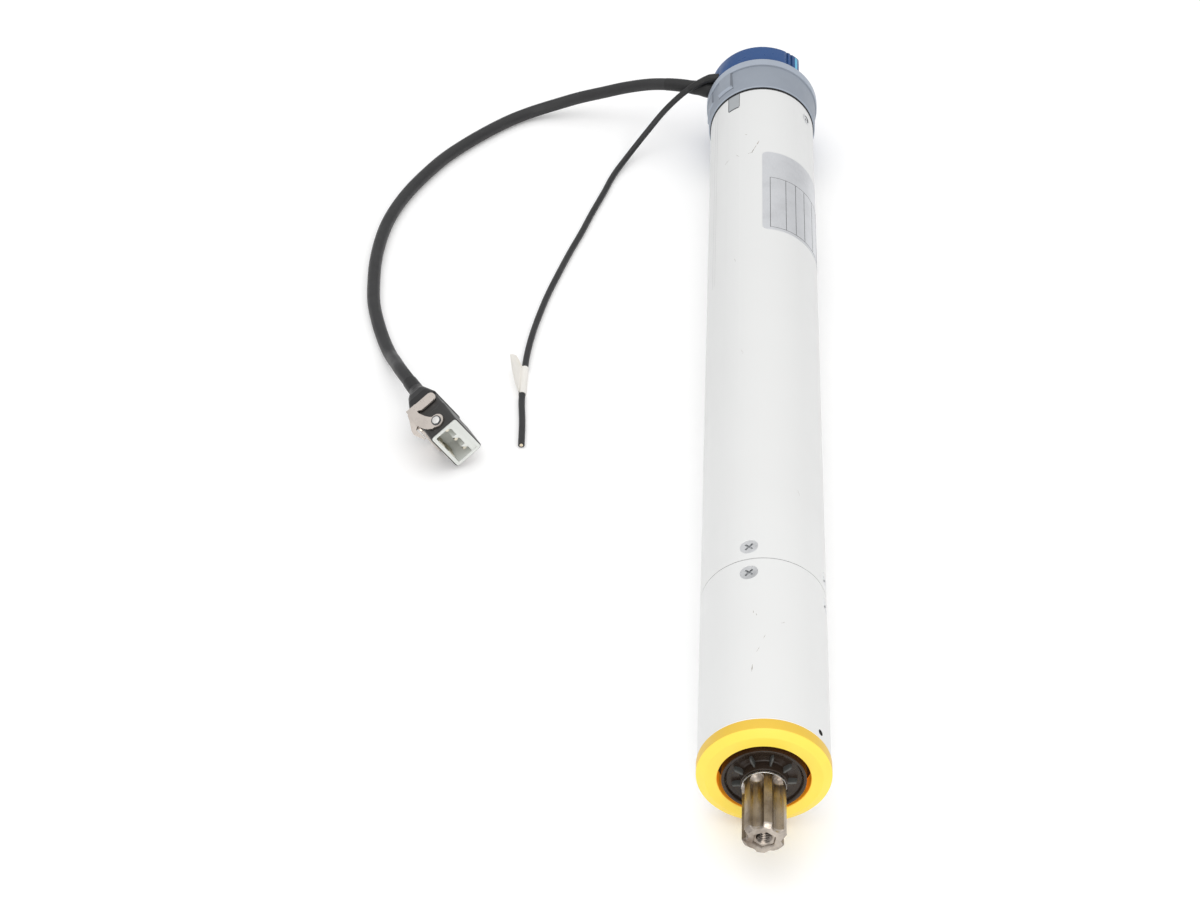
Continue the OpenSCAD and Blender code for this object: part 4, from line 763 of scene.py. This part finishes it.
def make_clip():
    """The clip with its lever bent to the body, its ear, and the pin and its seat."""
    clip = soften("plug_clip", 0.28, "clip")
    back = PLUG_FRAME.inverted()
    for vertex in clip.data.vertices:
        p = back @ vertex.co
        if p.y < LEVER_SIDE and p.x > LEVER_X - 0.05:
            u = min(1.0, (p.x - LEVER_X) / LEVER_LONG)
            p.y += (LEVER_IN * math.sin(math.radians(LEVER_TURN * u))
                    - LEVER_SAG * math.sin(math.pi * u ** 0.8))
            p.x = LEVER_X + LEVER_BENT * u
            vertex.co = PLUG_FRAME @ p
    outline = round_outline([(x, y, 0.5 if i in (0, len(EAR) - 1) else 1.2)
                             for i, (x, y) in enumerate(EAR)], 4)
    rows = [[(x * (1 - inset / 40), y + (inset if y < -11 else 0) * 0.7,
              z + 0.5 * max(0.0, (-10 - y) / 3)) for x, y in outline]
            for z, inset in ((14.06, 0.0), (14.8, 0.0), (15.05, 0.2))]
    ear = Shape()
    ear.solid(rows)
    ear.piece("clip_ear", "clip", FINISH["clip_steel"], slot="clip_steel", place=PLUG_FRAME)
    pin = Shape()
    for side in (1, -1):
        rows = [pin_row(r, side * z)
                for r, z in ((2.03, 13.6), (2.03, 15.7), (1.85, 15.9), (1.2, 16.0), (0.1, 16.02))]
        pin.solid(rows)
    pin.piece("clip_pin", "housing", FINISH["pin_steel"], slot="contact_metal", place=PLUG_FRAME)
    seat = Shape()
    seat.rows([pin_row(r, z) for r, z in ((2.0, 15.3), (2.55, 15.3), (2.55, 15.72), (2.45, 15.76),
                                          (2.0, 15.76), (2.0, 15.3))])
    seat.piece("clip_pin_seat", "clip", FINISH["seam_dark"], slot="clip_steel", place=PLUG_FRAME)


make_clip()


# Flag round the antenna cable, and the cable's bare end

BEHIND = Matrix.Translation((CAP_X, 0, 0)) @ Matrix.Scale(MM, 4)  # from the cap's back face
TAG_Y, TAG_Z, TAG_INNER, TAG_OUTER = -123.4, 2.4, 1.78, 2.08
TAG_FROM, TAG_LONG, TAG_REACH = 230, 21.5, 11
TAG_FLAG, TAG_CURL, TAG_LEAN = 1.6, 26, 3.4  # the flag's start, its curl in degrees, its slant
TAG_HALF = 0.14  # half of the two layers the flag is made of


def tag_ring(x, r):
    """Points round the cable, from the flag's one side to its other."""
    angles = [math.radians(a) for a in turn(52, 388, 34)]
    return [(x, TAG_Y - r * math.cos(a), TAG_Z + r * math.sin(a)) for a in angles]


def tag_face(flag, off):
    """Points of the flag's face that lies that far off its middle."""
    return [(x, TAG_Y - w * math.cos(b) + off * math.sin(b),
             TAG_Z + w * math.sin(b) + off * math.cos(b)) for x, w, b in flag]


def make_tag():
    """Paper wrapped round the cable; its two ends meet in a flag that curls upwards."""
    rows, lining = [], []
    for u in turn(0, 1, 30):
        x = TAG_FROM + TAG_LONG * u
        reach = (TAG_REACH * (1 - 0.74 * u ** 1.6) * min(1.0, (0.3 + 5 * u) ** 0.5)
                 * min(1.0, (6 * (1.05 - u)) ** 0.5))
        flag = [(x - TAG_LEAN * t * (1 - u) ** 1.3, TAG_FLAG + reach * t,
                 math.radians(TAG_CURL * (1 + t))) for t in turn(0.06, 1, 12)]
        upper, lower = tag_face(flag, -TAG_HALF), tag_face(flag, TAG_HALF)
        hole = tag_ring(x, TAG_INNER)
        rows.append(tag_ring(x, TAG_OUTER) + upper + lower[::-1])
        lining.append(hole + [hole[-1]] * len(upper) + [hole[0]] * len(lower))
    shape = Shape()
    shape.rows(rows + lining[::-1] + rows[:1])
    return shape.piece("tag_flag", "housing", FINISH["tag_paper"], "antenna_tag", "tag_paper",
                       BEHIND, math.radians(50))


def make_core():
    """Pale end of the antenna's core, where the cable is cut."""
    shape = Shape()
    angles = [math.radians(20 * k) for k in range(18)]
    rows = [[(x, -121.2 + r * math.sin(a), 1.9 + r * math.cos(a)) for a in angles]
            for x, r in ((289.5, 0.9), (291.25, 0.9), (291.35, 0.8), (291.35, 0.3), (291.7, 0.28),
                         (291.75, 0.15))]
    shape.solid(rows)
    return shape.piece("antenna_core", "housing", FINISH["core_cream"], slot="cable_rubber",
                       place=BEHIND)


TAG, CORE = make_tag(), make_core()


# Crown: a shell with raised pads, over the solid's toothed core. Each pad has two angles, a
# front edge, a height and the width of its sloping sides

PADS = [(-56, -35, -502.2, 1.46, 1.25), (-97, -67, -505.5, 0.95, 0.75)]
PAD_BACK, CROWN_STEP = -519, -516.9
CORE_R, SHELL_R = 29.3, 30.0


def sliver(shape, points):
    """A thin closed strip from groups of four points along it."""
    shape.solid([points[i:i + 4] for i in range(0, len(points), 4)])


def make_crown():
    """Outer shell with a stepped rim and two raised pads, over the toothed core."""
    core = soften("crown_ring", 0.2, "crown")
    for vertex in core.data.vertices:
        p = Vector((0, vertex.co.y, vertex.co.z - AXIS_Z))
        if p.length > mm(CORE_R):
            p *= mm(CORE_R) / p.length
            vertex.co = Vector((vertex.co.x, p.y, p.z + AXIS_Z))
    shell = Shape()
    profile = fillet([(-500, 29.1, 0), (-496.4, 29.1, 0), (-496.4, 29.6, 0.1),
                      (-496.8, 30.06, 0.25), (-516.0, 30.7, 0.2), (-516.35, 30.4, 0.1),
                      (CROWN_STEP, 30.4, 0.1), (-517.1, 31.5, 0.35), (-522.3, 31.62, 0.6),
                      (-523.03, 30.9, 0.3), (-523.03, 29.1, 0), (-500, 29.1, 0)], 4)
    # The rim and the thin front edge take the lighter grey: painted highlight.
    shell.lathe(profile, 216, slot=lambda i, k:
                1 if profile[i][0] < -517.0 or -496.8 < profile[i][0] < -496.39 else 0)
    for a0, a1, front, high, rim in PADS:
        wrapped(shell, (PAD_BACK, front), (a0, a1), corner=0.6, low=-0.6, high=high, radius=SHELL_R,
                rim=rim)
    shell.piece("crown_shell", "crown", [FINISH["crown_plastic"], FINISH["rim_grey"]],
                slot="crown_plastic")
    # Darker grey slivers beside each pad's side and a strip in front of its nose: painted shade.
    foot, glint = Shape(), Shape()
    for a0, a1, front, high, rim in PADS:
        foot_r, top_r = SHELL_R + 0.05 + high - rim, SHELL_R + 0.04 + high
        run = rim / 0.53  # the slope's width in degrees
        side = ((foot_r, a1 + 0.05), (top_r, a1 - run), (top_r - 0.3, a1 - run - 0.1),
                (foot_r - 0.3, a1 - 0.1))
        nose = ((front + 0.03, foot_r), (front - rim + 0.05, top_r),
                (front - rim - 0.05, top_r - 0.3), (front - 0.1, foot_r - 0.3))
        sliver(foot, [polar(s, r, a) for s in (CROWN_STEP, front - 0.9) for r, a in side])
        sliver(glint, [polar(s, r, a) for a in turn(a0 + 1.2, a1 - 1.2, 13) for s, r in nose])
        wrapped(foot, (front - 0.1, front + 1.0), (a0, a1 + 0.6), low=-0.5, high=0.27,
                radius=SHELL_R)
    # Slivers along the pads' noses in the lighter grey: painted highlight.
    glint.piece("crown_pad_front", "crown", FINISH["rim_grey"], slot="crown_plastic")
    foot.piece("crown_pad_foot", "crown", FINISH["foot_grey"], slot="crown_plastic")
    edge = Shape()
    edge.lathe([(-496.5, 28.6), (-496.5, 29.36), (-495.96, 29.36), (-495.96, 28.6),
                (-496.5, 28.6)], 180)
    edge.piece("washer_edge", "housing", FINISH["washer_rubber"], slot="washer_rubber")


make_crown()


def make_trim():
    """Outline of the key, faint lines, a painted highlight strip on the head and the fixing screw."""
    outline = Shape()
    wrapped(outline, (-495.5, -482.2), (-43.1, -42.3), high=0.05)
    wrapped(outline, (-482.2, -481.2), (-42.6, -28.6), corner=0.5, high=0.05)
    wrapped(outline, (-495.5, -482.2), (-28.6, -28.1), high=0.05)
    outline.piece("key_outline", "housing", FINISH["seam_dark"], slot="tube_paint")
    seams = Shape()
    for angle in (-66.5, -61.5):
        wrapped(seams, (-493, -330), (angle, angle + 0.3), high=0.03)
    seams.piece("tube_lines", "housing", FINISH["paint_shade"], slot="tube_paint")
    strip = Shape()
    wrapped(strip, (-537.2, -525.0), (37.2, 40.2), corner=0.5, low=-0.5, high=0.12, radius=29.7)
    strip.piece("cap_strip", "housing", FINISH["edge_cyan"], slot="blue_plastic")
    rows = [[on_side(r, depth, a, -485, 56, 1.3) for a in turn(0, 351, 40)]
            for r, depth in ((2.9, 28.4), (2.9, 29.1), (2.6, 29.28), (2.1, 29.2), (1.95, 28.9),
                             (1.1, 29.05), (0.9, 28.7), (0.1, 28.7))]
    # The screw's inner slope and the bottom of its middle hole are near black: painted shade.
    screw = Shape()
    screw.solid(rows, slot=lambda i, k: 1 if i in (3, 6) else 0)
    screw.piece("fixing_screw_finish", "housing", [FINISH["bright_screw"], FINISH["pin_dark"]],
                "fixing_screw", "bright_screw")


make_trim()


# Cords. Their points repeat the solid's routes, measured from the cap's back face

CABLE_D = mm(7)
ANTENNA_D = mm(3.4)
PLUG_X = Vector((math.cos(PLUG_YAW), math.sin(PLUG_YAW), 0))
CABLE_END = PLUG_AT - mm(54) * PLUG_X

CABLE_ROUTE = [
    (8, -37, 36),
    (3, -50, 34.5), (-3, -64, 30.5), (-8, -79, 24.5),
    (-11, -93, 18.5), (-13, -107, 13), (-12.5, -121, 8), (-9, -135, 4.5),
    (-1, -147, 3.6), (11, -159, 3.6), (25, -171, 3.6), (40, -182, 3.6),
    (56, -191, 3.6), (73, -199, 3.6), (90, -205, 3.6), (107, -209, 3.6),
    (125, -211, 3.6), (143, -211.5, 3.6), (161, -210.5, 3.6), (179, -208.5, 3.6),
    (196, -204.5, 3.6), (212, -199.5, 3.6), (226, -194.5, 5.5), (240, -190, 11.5),
    (252, -186, 16.5),
]
ANTENNA_ROUTE = [
    (10, -31, 44.5),
    (12.5, -43, 37.5), (14, -55, 25), (21, -66, 13),
    (34, -76.5, 4.6), (50, -84, 2.1), (68, -89, 1.9), (87, -94.5, 1.9),
    (106, -99.5, 1.9), (125, -105, 1.9), (144, -110, 1.9), (163, -114.7, 1.9),
    (182, -118.4, 2.1), (201, -121.3, 2.4), (220, -123.1, 2.4), (238, -123.4, 2.4),
    (256, -123.3, 2.4), (274, -121.9, 2.1), (291, -121.2, 1.9),
]


def from_cap(points):
    """Places measured in millimetres from the cap's back face."""
    return [Vector((CAP_X + mm(x), mm(y), mm(z))) for x, y, z in points]


def smooth_curve(name, points, radius, material):
    """A round cord through the points, on one smooth Bezier spline."""
    data = bpy.data.curves.new(name, "CURVE")
    data.dimensions = "3D"
    data.bevel_depth = radius
    data.bevel_resolution = data.resolution_u = 8
    data.use_fill_caps = True
    spline = data.splines.new("BEZIER")
    spline.bezier_points.add(len(points) - 1)
    for i, point in enumerate(points):
        before, after = points[max(i - 1, 0)], points[min(i + 1, len(points) - 1)]
        along = (after - before).normalized()
        knot = spline.bezier_points[i]
        knot.co = point
        knot.handle_left_type = knot.handle_right_type = "FREE"
        knot.handle_left = point - along * (point - before).length / 3
        knot.handle_right = point + along * (after - point).length / 3
    obj = link(bpy.data.objects.new(name, data))
    data.materials.append(material)
    return obj


def bezier_walk(knots, steps=16):
    """Points along a spline, each with its distance from the start."""
    total, last = 0.0, knots[0].co.copy()
    walk = [(0.0, last)]
    for a, b in zip(knots, knots[1:]):
        for step in range(1, steps + 1):
            t = step / steps
            point = ((1 - t) ** 3 * a.co + 3 * (1 - t) ** 2 * t * a.handle_right
                     + 3 * (1 - t) * t ** 2 * b.handle_left + t ** 3 * b.co)
            total += (point - last).length
            last = point
            walk.append((total, point))
    return walk


SLEEVE_BEND = 0.9  # how near the sleeve's bend comes to the cord's exit
SLEEVE_JOIN = 2.5  # the sleeve follows the cord from this far past its exit


def make_sleeve(name, node, cord, inside, radii):
    """Strain relief: from inside the head along the cord, with radii at distances from the exit."""
    walk = bezier_walk(cord.data.splines[0].bezier_points)
    ahead = [p for d, p in walk if mm(SLEEVE_JOIN) < d <= mm(radii[-1][0])]
    guide = from_cap(inside)
    bend = []
    for t in turn(0.1, 0.9, 9):
        chord = guide[-1].lerp(ahead[0], t)
        bend.append(chord + (walk[0][1] - chord) * 2 * t * (1 - t) * SLEEVE_BEND)
    path = guide[:-1] + [guide[-2].lerp(guide[-1], t) for t in turn(0.2, 1, 5)] + bend + ahead
    spot = [0.0]
    for a, b in zip(path, path[1:]):
        spot.append(spot[-1] + (b - a).length)
    nearest = min(range(len(path)), key=lambda i: (path[i] - walk[0][1]).length)
    rows = []
    for i, point in enumerate(path):
        at = (spot[i] - spot[nearest]) / MM
        low = max((k for k in range(len(radii)) if radii[k][0] <= at), default=0)
        high = min(low + 1, len(radii) - 1)
        (d0, r0), (d1, r1) = radii[low], radii[high]
        u = min(1.0, max(0.0, (at - d0) / (d1 - d0))) if d1 > d0 else 0.0
        radius = mm(r0 + (r1 - r0) * (3 * u * u - 2 * u ** 3))
        along = (path[min(i + 1, len(path) - 1)] - path[max(i - 1, 0)]).normalized()
        across = along.cross(Vector((0, 0, 1))).normalized()
        up = across.cross(along)
        rows.append([point + radius * (math.cos(a) * across + math.sin(a) * up) for a in ROUND])
    shape = Shape()
    shape.solid(rows)
    return shape.piece(name, "housing", FINISH["boot_rubber"], node, "cable_rubber",
                       Matrix.Identity(4))


def curve_length(obj):
    """Length of a curve's only spline, along its Bezier pieces."""
    return bezier_walk(obj.data.splines[0].bezier_points, 32)[-1][0]


def make_cord(name, node, points, diameter):
    """A cord in its node's place."""
    cord = smooth_curve(name, points, diameter / 2, FINISH["cable_rubber"])
    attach(cord, "housing")
    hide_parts(node)
    return cord


def make_cords():
    """The two cords, each with its sleeve; the pieces on the power cord are only listed."""
    power = make_cord("power_lead", "power_cable", from_cap(CABLE_ROUTE) + [CABLE_END], CABLE_D)
    relief = make_sleeve("power_relief", "cable_gland", power,
                         [(8, -20, 36), (8, -26, 36), (8, -32, 36)],
                         [(-9, 5.5), (-6, 5.45), (0.5, 4.15), (6, 3.85), (20, 3.62)])
    on_power = [relief, "plug_boot", "plug_pins", "plug_earth_spring"]
    on_power += [bpy.data.objects[piece]
                 for piece in ("plug_body_finish", "plug_insert_finish", "plug_clip_finish",
                               "clip_ear", "clip_pin", "clip_pin_seat")]
    curve_length(power)
    antenna = make_cord("antenna_lead", "antenna_cable", from_cap(ANTENNA_ROUTE), ANTENNA_D)
    collar = make_sleeve("antenna_relief", "antenna_gland", antenna,
                         [(10, -20, 44.5), (10, -23, 44.5), (10, -27.5, 44.5)],
                         [(-5, 2.55), (-2, 2.5), (3, 2.1), (14, 1.8)])
    curve_length(antenna)


make_cords()


# Floor and light

FLOOR = 12.0


def make_floor():
    """A matt white floor under the part."""
    n = Nodes("floor_white")
    n.shader.inputs["Base Color"].default_value = (0.93, 0.93, 0.93, 1)
    n.shader.inputs["Roughness"].default_value = 0.9
    n.shader.inputs["Specular IOR Level"].default_value = 0.1
    n.shader.inputs["Emission Color"].default_value = (1, 1, 1, 1)
    n.shader.inputs["Emission Strength"].default_value = 0.1
    data = bpy.data.meshes.new("floor")
    data.from_pydata([(-FLOOR, -FLOOR, 0), (FLOOR, -FLOOR, 0), (FLOOR, FLOOR, 0), (-FLOOR, FLOOR, 0)],
                     [], [(0, 1, 2, 3)])
    data.materials.append(n.material)
    floor = link(bpy.data.objects.new("floor", data))


def area_light(name, place, target, size, power, colour=(1, 1, 1)):
    """A soft rectangular light, turned towards its target."""
    data = bpy.data.lights.new(name, "AREA")
    data.shape = "RECTANGLE"
    data.size, data.size_y = size
    data.energy = power
    data.color = colour
    light = link(bpy.data.objects.new(name, data))
    light.location = place
    light.rotation_mode = "QUATERNION"
    light.rotation_quaternion = (Vector(target) - Vector(place)).to_track_quat("-Z", "Y")


def make_light():
    """A bright sky, darker towards the ground, and two soft lights."""
    world = bpy.data.worlds.new("studio")
    bpy.context.scene.world = world
    world.use_nodes = True
    tree = world.node_tree
    sky = tree.nodes.new("ShaderNodeTexCoord")
    split = tree.nodes.new("ShaderNodeSeparateXYZ")
    ramp = tree.nodes.new("ShaderNodeValToRGB")
    ramp.color_ramp.elements[0].position, ramp.color_ramp.elements[1].position = 0.0, 0.75
    ramp.color_ramp.elements[0].color = (0.5, 0.5, 0.51, 1)
    ramp.color_ramp.elements[1].color = (1, 1, 1, 1)
    tree.links.new(sky.outputs["Generated"], split.inputs[0])
    tree.links.new(split.outputs["Z"], ramp.inputs["Fac"])
    tree.links.new(ramp.outputs["Color"], tree.nodes["Background"].inputs["Color"])
    tree.nodes["Background"].inputs["Strength"].default_value = 1.0
    area_light("top_soft", (0.2, -0.3, 1.6), (0.0, -0.05, 0), (1.6, 1.2), 5)
    area_light("front_soft", (1.5, 0.2, 0.7), (0.2, 0, 0), (0.9, 0.7), 6, (1, 0.97, 0.92))
    bpy.context.scene.view_settings.view_transform = "Standard"


make_floor()
make_light()
